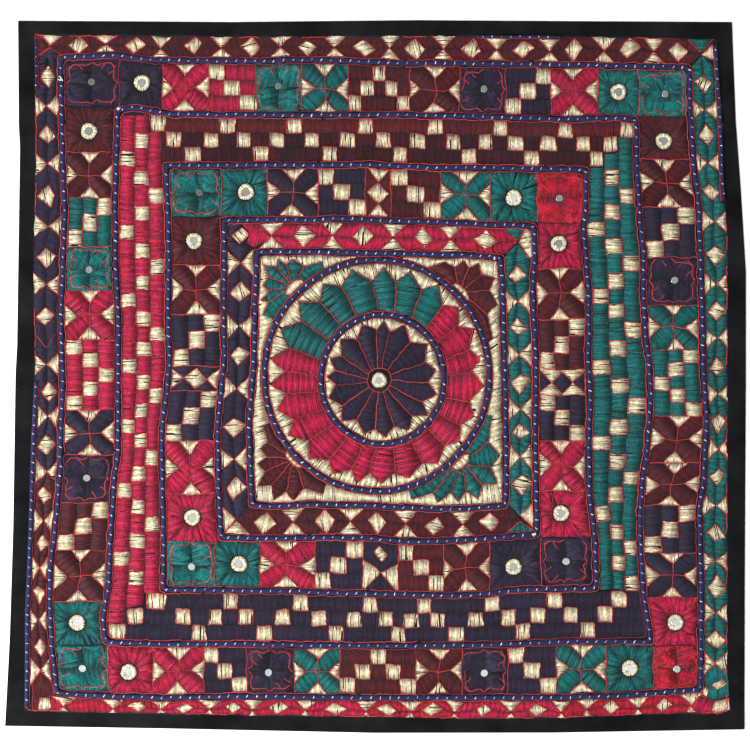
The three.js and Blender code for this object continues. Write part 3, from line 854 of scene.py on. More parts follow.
# %% Patches at the corners
# Thread, turn in degrees, lift above the others, whether it is edged, and corners
CORNER_PATCHES = [
    ("teal", 90, 0, False, [(479.9, -401.4), (492.8, -408.0), (494.2, -449.3), (471.1, -452.1),
                            (464.1, -448.6), (467.6, -437.7), (463.0, -431.8), (459.2, -438.8),
                            (460.2, -413.6)]),
    ("cream", 40, 0.4, True, [(471.1, -431.8), (485.1, -423.7), (491.7, -430.7), (478.1, -438.4)]),
    ("cream", 60, 0, True, [(456.0, -443.4), (463.0, -431.8), (467.6, -437.7), (464.1, -448.2)]),
    ("cream", 80, 0, True, [(470.0, -469.2), (473.5, -453.9), (494.5, -450.4), (495.6, -467.9),
                            (475.7, -471.4)]),
    ("crimson", 60, 0, True, [(439.6, -465.7), (450.1, -451.4), (456.0, -445.1), (464.1, -449.3),
                              (472.5, -453.5), (469.7, -470.3), (441.7, -471.7)]),
    ("maroon", 80, 0, True, [(-467.6, -413.0), (-480.2, -430.5), (-479.2, -467.9), (-472.2, -467.9),
                             (-470.0, -449.3), (-446.6, -446.9), (-452.5, -429.4)]),
    ("cream", 88, 0, True, [(-470.0, -450.0), (-456.0, -449.3), (-454.7, -465.7), (-472.2, -466.8)]),
    ("scarlet", 80, 0, False, [(-454.7, -450.0), (-442.0, -448.2), (-435.0, -463.3), (-438.5, -470.3),
                               (-454.7, -469.2)]),
    ("maroon", 0, 0, True, [(-475.3, 479.3), (-467.2, 477.0), (-454.3, 460.7), (-471.8, 449.0),
                            (-475.3, 448.8)]),
    ("plum", 0, 0, False, [(-471.8, 448.1), (-453.6, 460.3), (-436.8, 449.5), (-441.7, 443.2),
                           (-454.3, 446.8), (-466.9, 443.2)]),
    ("cream", 90, 0, True, [(456.7, 450.6), (472.5, 466.0), (473.2, 443.0)]),
    ("cream", -50, 0.4, True, [(-201.3, 196.6), (-187.0, 209.9), (-176.8, 198.7), (-189.1, 186.4)]),
    ("crimson", 80, 0, False, [(-186.1, 214.0), (-173.7, 216.1), (-160.0, 216.0), (-146.2, 193.7),
                               (-170.7, 180.4), (-179.9, 186.4), (-176.3, 199.7), (-184.9, 209.9)]),
    ("plum", 10, 0, False, [(-204.4, 210.9), (-187.0, 215.1), (-187.0, 209.9), (-201.3, 196.1),
                            (-189.1, 185.8), (-179.9, 186.4), (-172.8, 180.4), (-190.1, 159.9),
                            (-206.5, 181.4)]),
    ("cream", 5, 0, True, [(200.2, 187.5), (210.4, 205.9), (217.6, 203.8), (222.7, 193.7), (223.7, 169.0),
                           (213.5, 165.0), (205.4, 177.3)]),
]
for colour, degrees, lift, edged, corners in CORNER_PATCHES:
    patch(colour, np.array(corners), np.radians(degrees), 0.6, lift=lift)
    if edged:
        outline(corners, closed=True)
outline([(-468.5, 449.0), (-453.6, 460.3), (-438.0, 448.5)])

# %% [markdown]
# ## The check band
# Three rows of squares run round between the second and the third cord. The middle row has a cream
# square every five centimetres, and halfway between two of them a cream square sits in the outer or
# the inner row, in turn. The other squares are of one colour, a different one on each side.

# %% Check band
CHECK_ROWS = {
    # side: thread, start and end of the outer, middle and inner row, first cream, gaps, row of the
    # next cream, extra creams
    "left": ("crimson", [-344.5, -322, -303], [366, 366, 343], -282,
             [52, 48, 46, 46, 43, 39, 46, 43, 50, 45, 52, 50, 53], 0, []),
    "top": ("maroon", [-316, -297, -297], [362, 340, 318], -282.1,
            [52, 46, 46, 49, 50, 50, 48, 50, 45, 42, 46, 49, 38], 2, [(-304.5, 0), (353.5, 0)]),
    "right": ("teal", [-334.5, -312.5, -292.5], [299, 299, 299], -278,
              [48, 48, 48, 42, 53, 52, 57, 48, 48, 52, 43], 0, [(289, 0)]),
    "bottom": ("plum", [-380, -380, -380], [372, 349, 322], -321.3,
               [48, 46, 41, 46, 54, 36, 36, 44, 50, 50, 52, 42, 46, 67], 0,
               [(-340.9, 2), (361.9, 0), (311.6, 2)]),
}
CREAM_WIDTH = 20.0
PLAIN_WIDTH = 21.0  # of the squares in the side's own colour, about
THINNEST = {"cream": 4, "plain": 1.5}  # a narrower rest is left bare


def cream_middles(first, gaps, next_row, extra):
    """Where the cream squares of each row have their middles."""
    creams = {0: [], 1: [first], 2: []}
    at = first
    for gap in gaps:
        creams[next_row].append(at + gap / 2)
        next_row = 2 - next_row
        at += gap
        creams[1].append(at)
    for extra_at, row in extra:
        creams[row].append(extra_at)
    return creams


for side, (colour, starts, ends, *cream_rule) in CHECK_ROWS.items():
    place = band_place(side, "cord_2", -CHANNEL, "cord_3", CHANNEL)
    creams = cream_middles(*cream_rule)
    for row, middles in creams.items():
        box = box_of(0, 1, row / 3, (row + 1) / 3)
        start, end = starts[row], ends[row]
        # On the top side the outer row is lighter than the other two
        usual = 0.5 + ((0.3 if row == 0 else -0.4) if colour == "maroon" else 0)
        cursor = start
        for middle in [*sorted(middles), end + 100]:
            half = CREAM_WIDTH / 2 * rng.uniform(0.93, 1.08)
            low, high = max(middle - half, start), min(middle + half, end)
            bare = min(low, end) - cursor
            squares = max(1, round(bare / PLAIN_WIDTH))
            joints = np.linspace(cursor, min(low, end), squares + 1) if bare > THINNEST["plain"] else []
            for left, right in zip(joints[:-1], joints[1:]):
                tone = usual + rng.uniform(-0.15, 0.15)
                cell = make_cell(place, left, right - left)
                cell_patch(cell, box, colour, "across", tone, rng.uniform(-0.1, 0.1))
            if high - low > THINNEST["cream"]:
                cell = make_cell(place, low, high - low)
                cell_patch(cell, box, "cream", "across", 0.52, rng.uniform(-0.08, 0.08))
                cell_outline(cell, box)
            cursor = high
    print("check band", side, "has", sum(len(m) for m in creams.values()), "cream squares")

# %% [markdown]
# ## The medallion
# A mirror lies in the middle. Fifteen plum petals run out from it and a cord circles them. Round
# that cord, 23 petals stand like a row of little houses, seven of them teal and the others crimson.
# Cream fills the gaps under the outer cord.

# %% Medallion
HUB = MIRROR_PLACES[-1]
HUB_RING = 17.4  # radius of the red ring round the middle mirror


def round_rail(name, gap):
    centre, radii = CIRCLES[name]

    def at(angle):
        way = np.stack([np.cos(angle), np.sin(angle)], -1)
        return np.array(centre) + way * (np.array(radii) + gap)

    return at


def ring_place(inner, outer):
    return lambda angle, out: inner(angle) * (1 - out)[..., None] + outer(angle) * out[..., None]


def polar(place, pairs):
    pairs = np.asarray(pairs, float)
    return place(pairs[:, 0], pairs[:, 1])


def spoke_turn(place, angle):
    """The turn of the way outwards at an angle."""
    foot, end = polar(place, [(angle, 0.0), (angle, 1.0)])
    return turn_of(end - foot)


def petal_ring(place, petals, notch, tips):
    """Petals with straight sides and a pointed tip, and cream between the tips."""
    for number, (low, high, colour) in enumerate(petals):
        middle = (low + high) / 2 + rng.uniform(-0.02, 0.02)
        shape = [(low, 0.0), (low, notch), (middle, tips[number]), (high, notch), (high, 0.0)]
        turn = spoke_turn(place, middle) + np.pi / 2 + rng.uniform(-0.06, 0.06)
        patch(colour, polar(place, fine_edges(shape, 3)), turn, rng.uniform(0.4, 0.6), loose=1.8)
        outline(polar(place, shape[:4]))
        after = (number + 1) % len(petals)
        following = (petals[after][0] + petals[after][1]) / 2
        following += 2 * np.pi * (following <= middle)
        gap = [(middle, tips[number]), (high, notch), (following, tips[after])]
        gap += [(angle, 1.0) for angle in np.linspace(following, middle, 6)]
        turn = spoke_turn(place, high) + rng.uniform(-0.1, 0.1)
        patch("cream", polar(place, gap), turn, CREAM_TONE, loose=1.5)


def hub_rail(angle):
    return HUB + HUB_RING * np.stack([np.cos(angle), np.sin(angle)], -1)


# In degrees, anticlockwise: where each petal starts, and after it the last one's end
PLUM_EDGES = [97, 123, 151, 170, 187, 212, 237, 262, 286, 312, 332, 357, 382, 411, 440, 457]
TEAL_EDGES = [47, 63, 79, 94, 113, 129, 145, 163]
CRIMSON_EDGES = [163, 177, 190, 206, 221, 238, 253, 264, 280, 297, 314, 330, 345, 363, 376, 392, 407]


def petals_between(edges, colour):
    edges = np.radians(edges)
    return [(low, high, colour) for low, high in zip(edges[:-1], edges[1:])]


inner_place = ring_place(hub_rail, round_rail("inner", -CHANNEL))
plum_petals = petals_between(PLUM_EDGES, "plum")
petal_ring(inner_place, plum_petals, notch=0.75, tips=rng.uniform(0.93, 0.99, 15))
outline(hub_rail(np.linspace(0, 2 * np.pi, 11)[:-1]), closed=True, amount=0.5)

outer_place = ring_place(round_rail("inner", CHANNEL), round_rail("outer", -CHANNEL))
house_petals = petals_between(TEAL_EDGES, "teal") + petals_between(CRIMSON_EDGES, "crimson")
petal_ring(outer_place, house_petals, notch=0.66, tips=rng.uniform(0.89, 0.98, 23))
print("petals:", len(plum_petals) + len(house_petals))

# %% [markdown]
# ## The four fans
# In each corner round the medallion, seven petals fan out from an oval cream hub that lies against
# the circle. Around them the ground is filled with cream, its threads square to the cords.

# %% Fans
FANS = {
    # corner: thread, side before it, side after it, hub, tips clockwise
    "top_left": ("teal", "left", "top", (-113.7, 125.1), [
        (-158.2, 87.7), (-160.0, 107.0), (-159.5, 128.7), (-157.1, 157.0), (-137.1, 166.1),
        (-115.4, 166.7), (-75.6, 160.1)]),
    "top_right": ("maroon", "top", "right", (119.3, 119.1), [
        (25.2, 164.8), (95.8, 161.9), (123.5, 161.9), (145.7, 159.5), (166.9, 138.4), (170.6, 101.0),
        (162.9, 52.8)]),
    "bottom_right": ("teal", "right", "bottom", (120.4, -119.6), [
        (162.9, -55.6), (174.7, -111.1), (171.1, -149.0), (145.2, -171.4), (115.1, -176.4),
        (86.7, -175.2), (51.1, -172.4)]),
    "bottom_left": ("maroon", "bottom", "left", (-114.2, -116.0), [
        (-75.6, -165.4), (-114.2, -173.1), (-142.5, -173.2), (-165.0, -152.7), (-165.0, -120.7),
        (-161.4, -99.8), (-158.0, -68.9)]),
}
ROUND_HOLE = (CIRCLES["outer"][0], tuple(np.array(CIRCLES["outer"][1]) + CHANNEL), 0.0)
FAN_HUB_RADII = (15.0, 6.8)
FAN_NOTCH = 0.77  # how far out two petals part, as a share of the way to their tips
UNDER_CORD = 0.7  # how far in the outermost petals run, as a share of their tips' places


def corner_field(colour, before, after, hub, tips):
    """The petals of a fan round its oval hub, and cream on both sides of the corner's diagonal."""
    hub, tips = np.array(hub), np.array(tips)
    slope = turn_of(hub - np.array(CIRCLES["outer"][0]))
    holes = [ROUND_HOLE, (hub, FAN_HUB_RADII, slope + np.pi / 2)]
    notches = hub + FAN_NOTCH * ((tips[1:] + tips[:-1]) / 2 - hub)
    bounds = [tips[0] * UNDER_CORD, *notches, tips[-1] * UNDER_CORD]
    for number, tip in enumerate(tips):
        petal = np.array([hub, bounds[number], tip, bounds[number + 1]])
        patch(colour, petal, turn_of(tip - hub) + np.pi / 2, rng.uniform(0.4, 0.6), holes, loose=1.5)
    zigzag = [tips[0]]
    for notch, tip in zip(notches, tips[1:]):
        zigzag += [notch, tip]
        away = turn_of(notch - hub) - slope - np.pi / 2
        rim = 1 / np.hypot(np.cos(away) / FAN_HUB_RADII[0], np.sin(away) / FAN_HUB_RADII[1])
        outline([hub + unit(notch - hub) * rim, notch])
    outline(zigzag)
    angle = np.linspace(0, 2 * np.pi, 19)[:-1]
    cos, sin = np.cos(slope + np.pi / 2), np.sin(slope + np.pi / 2)
    oval = np.stack([np.cos(angle), np.sin(angle)], 1) * FAN_HUB_RADII
    oval = hub + oval @ np.array([[cos, sin], [-sin, cos]])
    patch("cream", oval, slope, 0.6, [ROUND_HOLE])
    outline(oval, closed=True, amount=0.6)
    nearest = int(np.argmax(np.abs(tips).sum(axis=1)))
    for side, chain in ((before, zigzag[: 2 * nearest + 1]), (after, zigzag[2 * nearest :][::-1])):
        along, outward = np.array(ALONG[side]), np.array(OUTWARD[side])
        corner = -1 if side == before else 0
        end = side_points("cord_5", side)[corner] @ along + (CHANNEL if corner == 0 else -CHANNEL)
        where = np.linspace(0, end, 24)
        edge = where[:, None] * along + rail("cord_5", side, -CHANNEL)(where)[:, None] * outward
        back = np.array(chain)[::-1]
        shape = np.concatenate([edge, back, [0.9 * back[-1], outward * 120]])
        lean = rng.uniform(0.25, 0.6) if side in ("left", "right") else rng.uniform(-0.15, 0.15)
        patch("cream", shape, turn_of(outward) + lean, 0.6, [ROUND_HOLE], loose=0.9)


for fan in FANS.values():
    corner_field(*fan)
print("threads:", {colour: len(rows) for colour, rows in threads.items()})

# %% [markdown]
# ## Red lines beside the cords
# A red line runs along both sides of each cord, and one runs round the outside of the embroidery.
# The border half hides that one, so it has long gaps. Each stretch of the outermost cord has a red
# line on its inner side.

# %% Red lines beside the cords
PANEL_LINE_GAP = 2.0  # from the panel's edge to the worn red line inside it
for gap_line in [*(f"cord_{number}" for number in range(1, 6)), *CIRCLES]:
    for gap in (RED_LINE_GAP, -RED_LINE_GAP):
        if gap_line in CIRCLES:
            broken_outline(circle_points(gap_line, gap), 0.4, 0.02)
        else:
            broken_outline(moved(loop_points(gap_line), gap), 0.5, 0.02)
broken_outline(moved(loop_points("panel_edge"), -PANEL_LINE_GAP), 0.3, 1.6, longest=18)
for side, first, last, width in EDGE_CORDS.values():
    outline(edge_cord_points(side, first, last, EDGE_CORD_MARGIN + width + 0.8), amount=0.3, shake=0.4)
print("red lines:", len(red_ways), "with", sum(len(way) for way, _ in red_ways), "points")

# %% [markdown]
# ## Finishes
# Floss is made of many fine, silky fibres, so it is a little glossy and its colour changes from
# thread to thread. Each thread carries a tint of its own, and the finish turns it into a lighter or
# a darker dye. Small patches of painted shade and light, for puckered satin, lie over the dye.
# Cotton is matt and woven. Every colour below is given as the eye sees it.

# %% Material helpers
def linear(red, green, blue):
    """A colour from 0 to 255 as the eye sees it, as Blender counts light."""
    values = np.array([red, green, blue]) / 255
    return (*np.where(values <= 0.04045, values / 12.92, ((values + 0.055) / 1.055) ** 2.4), 1.0)


def join(tree, value, socket):
    """Links another node's output to a socket, or fills the socket with a plain value."""
    if isinstance(value, bpy.types.NodeSocket):
        tree.links.new(value, socket)
    elif value is not None:
        socket.default_value = value


def add(tree, kind, *in_order, **by_name):
    """Makes a node, fills its settings and sockets by name or in order, and gives back its outputs."""
    new = tree.nodes.new(kind)
    for key, value in by_name.items():
        if hasattr(new, key):
            setattr(new, key, value)
        else:
            join(tree, value, new.inputs[key.replace("_", " ")])
    for socket, value in zip(new.inputs, in_order):
        join(tree, value, socket)
    return new.outputs


def maths(tree, operation, *values):
    return add(tree, "ShaderNodeMath", *values, operation=operation)[0]


def vector(tree, *values):
    return add(tree, "ShaderNodeCombineXYZ", *values)[0]


def remap(tree, value, low, high, to_low=0.0, to_high=1.0):
    """A value that runs from low to high, stretched to run from to_low to to_high."""
    return add(tree, "ShaderNodeMapRange", value, low, high, to_low, to_high)["Result"]


def mix_colours(tree, factor, low, high, blend="MIX"):
    """A mix of two colours, each given as numbers or as the output of a node."""
    # The sockets between the factor and the two colours are for other kinds of values
    others = [None] * 5
    return add(tree, "ShaderNodeMix", factor, *others, low, high, data_type="RGBA", blend_type=blend)[2]


def texture(tree, kind, **values):
    """A texture that is laid out in the piece's own coordinates."""
    place = add(tree, "ShaderNodeTexCoord")["Object"]
    return add(tree, f"ShaderNodeTex{kind}", Vector=place, **values)


def new_finish(name, **settings):
    """A material with some settings of its shader filled in."""
    finish = bpy.data.materials.new(name)
    finish.use_nodes = True
    shader = finish.node_tree.nodes["Principled BSDF"]
    for key, value in settings.items():
        shader.inputs[key.replace("_", " ")].default_value = value
    return finish, finish.node_tree, shader


def dress(tree, shader, colour, height, strength, depth):
    """Gives a shader its colour, and small bumps that follow a height."""
    join(tree, colour, shader.inputs["Base Color"])
    bumps = add(tree, "ShaderNodeBump", Strength=strength, Distance=depth, Height=height)
    join(tree, bumps["Normal"], shader.inputs["Normal"])


def floss_finish(name, dark, light, worn):
    finish, tree, shader = new_finish(name, Roughness=0.55, Sheen_Weight=0.06, Specular_IOR_Level=0.1)
    tint = add(tree, "ShaderNodeAttribute", attribute_name="tint")["Fac"]
    fading = texture(tree, "Noise", Scale=22.0, Detail=3.0, Roughness=0.6)["Fac"]
    pucker_shade_noise = texture(tree, "Noise", Scale=310.0, Detail=4.0, Roughness=0.7)["Fac"]
    fibres = texture(tree, "Noise", Scale=1900.0, Detail=2.0)["Fac"]
    dye = mix_colours(tree, tint, linear(*dark), linear(*light))
    old = mix_colours(tree, remap(tree, fading, 0.35, 0.7), dye, linear(*worn))
    some = mix_colours(tree, 0.35, dye, old)
    # Painted shade and light of puckered satin, with some uneven dye: the colour is multiplied by 0.52 to
    # 1.24 in patches a few millimetres wide
    pucker_shaded = mix_colours(tree, 1.0, some, remap(tree, pucker_shade_noise, 0.34, 0.64, 0.52, 1.24), "MULTIPLY")
    dress(tree, shader, pucker_shaded, fibres, 0.35, 0.0003)
    return finish


# %% Thread finishes
FLOSS_DYES = {
    # thread: dark, light and worn
    "cream": ((220, 203, 156), (254, 246, 216), (242, 225, 180)),
    "crimson": ((132, 10, 44), (210, 32, 80), (186, 28, 60)),
    "scarlet": ((134, 10, 36), (202, 28, 60), (184, 26, 50)),
    "plum": ((20, 14, 32), (54, 42, 72), (38, 31, 48)),
    "maroon": ((40, 9, 15), (106, 29, 36), (78, 24, 28)),
    "teal": ((2, 62, 62), (14, 126, 124), (8, 98, 94)),
}
FLOSS = {colour: floss_finish(f"{colour}_floss", *dyes) for colour, dyes in FLOSS_DYES.items()}
RED_THREAD = floss_finish("red_thread", (122, 24, 26), (198, 62, 56), (170, 70, 74))
WHITE_THREAD = floss_finish("white_thread", (150, 152, 166), (232, 232, 232), (200, 198, 196))
RING_THREAD = floss_finish("ring_thread", (196, 184, 148), (246, 238, 210), (226, 214, 178))
print("finishes:", len(bpy.data.materials))

# %% [markdown]
# ## Geometry Nodes: one small tool for all threads
# The noted threads are points with a turn, a length, a width and a tint. The tree makes one thread:
# a little prism, thin at its ends and arched in its middle. It sets that on every point, realizes
# the copies and gives them their finish. The same tree makes the white couching stitches and the
# stitches of the mirror rings, with other numbers.

# %% Node helpers
def new_tree(name, inputs):
    """A tree with geometry in and out and named inputs (name, kind, value), and its input's outputs."""
    tree = bpy.data.node_groups.new(name, "GeometryNodeTree")
    for title, kind, value in [("Geometry", "Geometry", None), *inputs, ("Finish", "Material", None)]:
        socket = tree.interface.new_socket(title, in_out="INPUT", socket_type=f"NodeSocket{kind}")
        if value is not None:
            socket.default_value = value
    tree.interface.new_socket("Geometry", in_out="OUTPUT", socket_type="NodeSocketGeometry")
    start = tree.nodes.new("NodeGroupInput")
    start.name = "start"
    return tree, start.outputs


def named(tree, name):
    """The value of a point's attribute."""
    return add(tree, "GeometryNodeInputNamedAttribute", data_type="FLOAT", Name=name)["Attribute"]


def random_number(tree, low, high, seed):
    # The first two sockets are for random vectors
    return add(tree, "FunctionNodeRandomValue", None, None, low, high, data_type="FLOAT", Seed=seed)[1]


def own_place(tree):
    """The x, y and z of a point."""
    return add(tree, "ShaderNodeSeparateXYZ", add(tree, "GeometryNodeInputPosition")[0])


def finish_tree(tree, geometry, working=()):
    """The end of every tree: real copies without their working numbers, smooth and in their finish."""
    geometry = add(tree, "GeometryNodeRealizeInstances", Geometry=geometry)[0]
    for name in working:
        geometry = add(tree, "GeometryNodeRemoveAttribute", Geometry=geometry, Name=name)[0]
    smooth = add(tree, "GeometryNodeSetShadeSmooth", Geometry=geometry)[0]
    finish = tree.nodes["start"].outputs["Finish"]
    add(tree, "NodeGroupOutput", add(tree, "GeometryNodeSetMaterial", Geometry=smooth, Material=finish)[0])
    return tree


# %% The thread tree
def thread_tree():
    tree, start = new_tree("satin_thread", [
        ("Sides", "Int", 3), ("Segments", "Int", 2), ("Arch", "Float", 0.55), ("Thin ends", "Float", 0.45),
        ("Height", "Float", 0.62), ("Seed", "Int", 5),
    ])
    rod = add(tree, "GeometryNodeMeshCylinder", fill_type="NGON", Radius=0.5, Depth=1.0,
              Vertices=start["Sides"], Side_Segments=start["Segments"])[0]
    lying = add(tree, "GeometryNodeTransform", Geometry=rod, Rotation=(0, -np.pi / 2, 0))[0]
    # How far out along the thread a point is, squared: 0 in the middle and 1 at the ends
    x, y, z = own_place(tree)
    out = maths(tree, "POWER", maths(tree, "ABSOLUTE", maths(tree, "MULTIPLY", x, 2.0)), 2.0)
    keep = maths(tree, "SUBTRACT", 1.0, maths(tree, "MULTIPLY", out, start["Thin ends"]))
    rise = maths(tree, "MULTIPLY", maths(tree, "SUBTRACT", 1.0, out), start["Arch"])
    high = maths(tree, "ADD", maths(tree, "MULTIPLY", z, keep), rise)
    place = vector(tree, x, maths(tree, "MULTIPLY", y, keep), high)
    thread = add(tree, "GeometryNodeSetPosition", Geometry=lying, Position=place)[0]
    roll = random_number(tree, -0.25, 0.25, start["Seed"])
    girth = named(tree, "girth")
    turn = vector(tree, roll, 0.0, named(tree, "turn"))
    size = vector(tree, named(tree, "reach"), girth, maths(tree, "MULTIPLY", girth, start["Height"]))
    points = add(tree, "GeometryNodeMeshToPoints", Mesh=start["Geometry"])[0]
    copies = add(tree, "GeometryNodeInstanceOnPoints", Points=points, Instance=thread,
                 Rotation=turn, Scale=size)[0]
    return finish_tree(tree, copies, ("turn", "reach", "girth"))


THREAD_TREE = thread_tree()


def grown(name, tree, source, values):
    """Runs a tree on a mesh once and keeps the result as a plain mesh."""
    piece = bpy.data.objects.new(name, source)
    bpy.context.scene.collection.objects.link(piece)
    modifier = piece.modifiers.new("grow", "NODES")
    modifier.node_group = tree
    for item in tree.interface.items_tree:
        if item.in_out == "INPUT" and item.name in values:
            modifier[item.identifier] = values[item.name]
    graph = bpy.context.evaluated_depsgraph_get()
    grown_piece = piece.evaluated_get(graph)
    result = bpy.data.meshes.new_from_object(grown_piece, preserve_all_data_layers=True, depsgraph=graph)
    piece.modifiers.remove(modifier)
    piece.data = result
    result.name = name
    print(name, "has", sum(len(face.vertices) - 2 for face in result.polygons), "triangles")
    return piece


def point_numbers(mesh, name, values):
    layer = mesh.attributes.new(name, "FLOAT", "POINT")
    layer.data.foreach_set("value", np.ascontiguousarray(values, dtype=np.float32))


def thread_points(name, rows):
    """Rows of x, y, z, turn, length, width and tint, as a mesh of loose points."""
    rows = np.array(rows, float)
    mesh = bpy.data.meshes.new(name)
    mesh.vertices.add(len(rows))
    mesh.vertices.foreach_set("co", (rows[:, :3] * MM).ravel())
    for key, column, unit_size in (("turn", 3, 1), ("reach", 4, MM), ("girth", 5, MM), ("tint", 6, 1)):
        point_numbers(mesh, key, rows[:, column] * unit_size)
    return mesh


# %% Lay the satin threads
stitch_pieces = []
for colour, rows in threads.items():
    name = f"satin_{colour}"
    stitch_pieces.append(grown(name, THREAD_TREE, thread_points(name, rows), {"Finish": FLOSS[colour]}))

# %% [markdown]
# ## The red thread
# Each noted way becomes a curve, and the curve a thin round thread with its ends closed. The width
# changes a little along it, as the tension of a hand-laid thread does.

# %% The red thread tree
def upright_curve(tree, edges, swell):
    """Loose edges as a curve that doesn't twist, with its radius swelled by a factor."""
    curve = add(tree, "GeometryNodeMeshToCurve", Mesh=edges)[0]
    upright = add(tree, "GeometryNodeSetCurveNormal", mode="Z_UP", Curve=curve)[0]
    return add(tree, "GeometryNodeSetCurveRadius", Curve=upright, Radius=swell)[0]


def circle(tree, sides, radius):
    return add(tree, "GeometryNodeCurvePrimitiveCircle", Resolution=sides, Radius=radius)[0]


def sweep(tree, curve, profile):
    return add(tree, "GeometryNodeCurveToMesh", Curve=curve, Profile_Curve=profile, Fill_Caps=True)[0]


def laid_thread_tree():
    tree, start = new_tree("laid_thread", [
        ("Radius", "Float", 0.001), ("Unevenness", "Float", 0.35), ("Sides", "Int", 4), ("Seed", "Int", 3),
    ])
    least = maths(tree, "SUBTRACT", 1.0, start["Unevenness"])
    most = maths(tree, "ADD", 1.0, start["Unevenness"])
    curve = upright_curve(tree, start["Geometry"], random_number(tree, least, most, start["Seed"]))
    return finish_tree(tree, sweep(tree, curve, circle(tree, start["Sides"], start["Radius"])))


def ways_mesh(name, ways, height):
    """Polylines as a mesh of loose edges, with a slow change of tint along them."""
    places, edges, tints = [], [], []
    for way, closed in ways:
        first = len(places)
        rise = height + rng.normal(0, 0.12, len(way))
        places += [(x, y, z) for (x, y), z in zip(way, rise)]
        tints += list(np.clip(0.5 + np.cumsum(rng.normal(0, 0.09, len(way))), 0, 1))
        edges += [(first + i, first + i + 1) for i in range(len(way) - 1)]
        if closed:
            edges.append((first + len(way) - 1, first))
    mesh = bpy.data.meshes.new(name)
    mesh.from_pydata((np.array(places) * MM).tolist(), edges, [])
    point_numbers(mesh, "tint", tints)
    return mesh


LAID_THREAD_TREE = laid_thread_tree()
RED_HEIGHT = 1.95
half = len(red_ways) // 2
red_pieces = [
    grown(f"red_outline_{number}", LAID_THREAD_TREE, ways_mesh(f"red_{number}", some, RED_HEIGHT),
          {"Radius": 0.57 * MM, "Finish": RED_THREAD, "Seed": number})
    for number, some in enumerate((red_ways[:half], red_ways[half:]), 1)
]

# %% [markdown]
# ## The blue cords
# Each cord is a bundle of blue yarns laid on the cloth and couched: a white stitch crosses it every
# centimetre or so and pulls it in. The tree sweeps an oval along the line and swells it between two
# stitches. It also keeps how far along and how far round a point is, for the finish.

# %% The cord tree
def kept(tree, geometry, name, value):
    """The same geometry with a value kept on each point."""
    return add(tree, "GeometryNodeStoreNamedAttribute", data_type="FLOAT", domain="POINT",
               Geometry=geometry, Name=name, Value=value)[0]


def cord_tree():
    tree, start = new_tree("couched_cord", [
        ("Width", "Float", CORD_WIDTH * MM), ("Height", "Float", CORD_HEIGHT * MM),
        ("Middle height", "Float", CORD_MIDDLE * MM), ("Couching step", "Float", 0.0133),
        ("Swell", "Float", 0.07), ("Sides", "Int", 8),
    ])
    spline = add(tree, "GeometryNodeSplineParameter")
    turns = maths(tree, "DIVIDE", spline["Length"], start["Couching step"])
    wave = maths(tree, "COSINE", maths(tree, "MULTIPLY", turns, 2 * np.pi))
    radius = maths(tree, "SUBTRACT", 1.0, maths(tree, "MULTIPLY", wave, start["Swell"]))
    curve = kept(tree, upright_curve(tree, start["Geometry"], radius), "along", spline["Length"])
    swing = maths(tree, "SINE", maths(tree, "MULTIPLY", spline["Factor"], 2 * np.pi))
    half = maths(tree, "DIVIDE", start["Width"], 2.0)
    profile = kept(tree, circle(tree, start["Sides"], half), "around", swing)
    # Press the round sweep flat about its middle height
    x, y, z = own_place(tree)
    above = maths(tree, "SUBTRACT", z, start["Middle height"])
    squeeze = maths(tree, "DIVIDE", start["Height"], start["Width"])
    flat = maths(tree, "ADD", maths(tree, "MULTIPLY", above, squeeze), start["Middle height"])
    swept = sweep(tree, curve, profile)
    pressed = add(tree, "GeometryNodeSetPosition", Geometry=swept, Position=vector(tree, x, y, flat))[0]
    return finish_tree(tree, pressed)


CORD_TREE = cord_tree()

# %% Cord finish
def cord_finish():
    """Laid blue yarns: streaks that run along the cord."""
    finish, tree, shader = new_finish("cord_blue", Roughness=0.62, Sheen_Weight=0.08, Specular_IOR_Level=0.12)
    along = add(tree, "ShaderNodeAttribute", attribute_name="along")["Fac"]
    around = add(tree, "ShaderNodeAttribute", attribute_name="around")["Fac"]
    place = vector(tree, maths(tree, "MULTIPLY", along, 60.0), maths(tree, "MULTIPLY", around, 3.2))
    streaks = add(tree, "ShaderNodeTexNoise", Vector=place, Scale=1.6, Detail=4.0, Roughness=0.65)["Fac"]
    colour = mix_colours(tree, streaks, linear(4, 4, 18), linear(34, 40, 90))
    dress(tree, shader, colour, streaks, 0.7, 0.0008)
    return finish


CORD_BLUE = cord_finish()
CORD_STEP = 3.325  # a quarter of the couching step
COUCHING_HEIGHT = 4.15
KNOT_HEIGHT = 3.9
KNOTS = [(-360.5, 374.6), (-440.3, 415.2), (221.9, -220.4), (165.9, 165.9)]

# Each cord's points, whether it is closed, and its width
cord_lines = {}
for number in range(1, 6):
    cord_lines[f"square_cord_{number}"] = (loop_points(f"cord_{number}"), True, CORD_WIDTH)
for name in CIRCLES:
    cord_lines[f"round_cord_{name}"] = (circle_points(name), True, CORD_WIDTH)
for name, (side, first, last, width) in EDGE_CORDS.items():
    cord_lines[name] = (edge_cord_points(side, first, last, EDGE_CORD_MARGIN + width / 2), False, width)

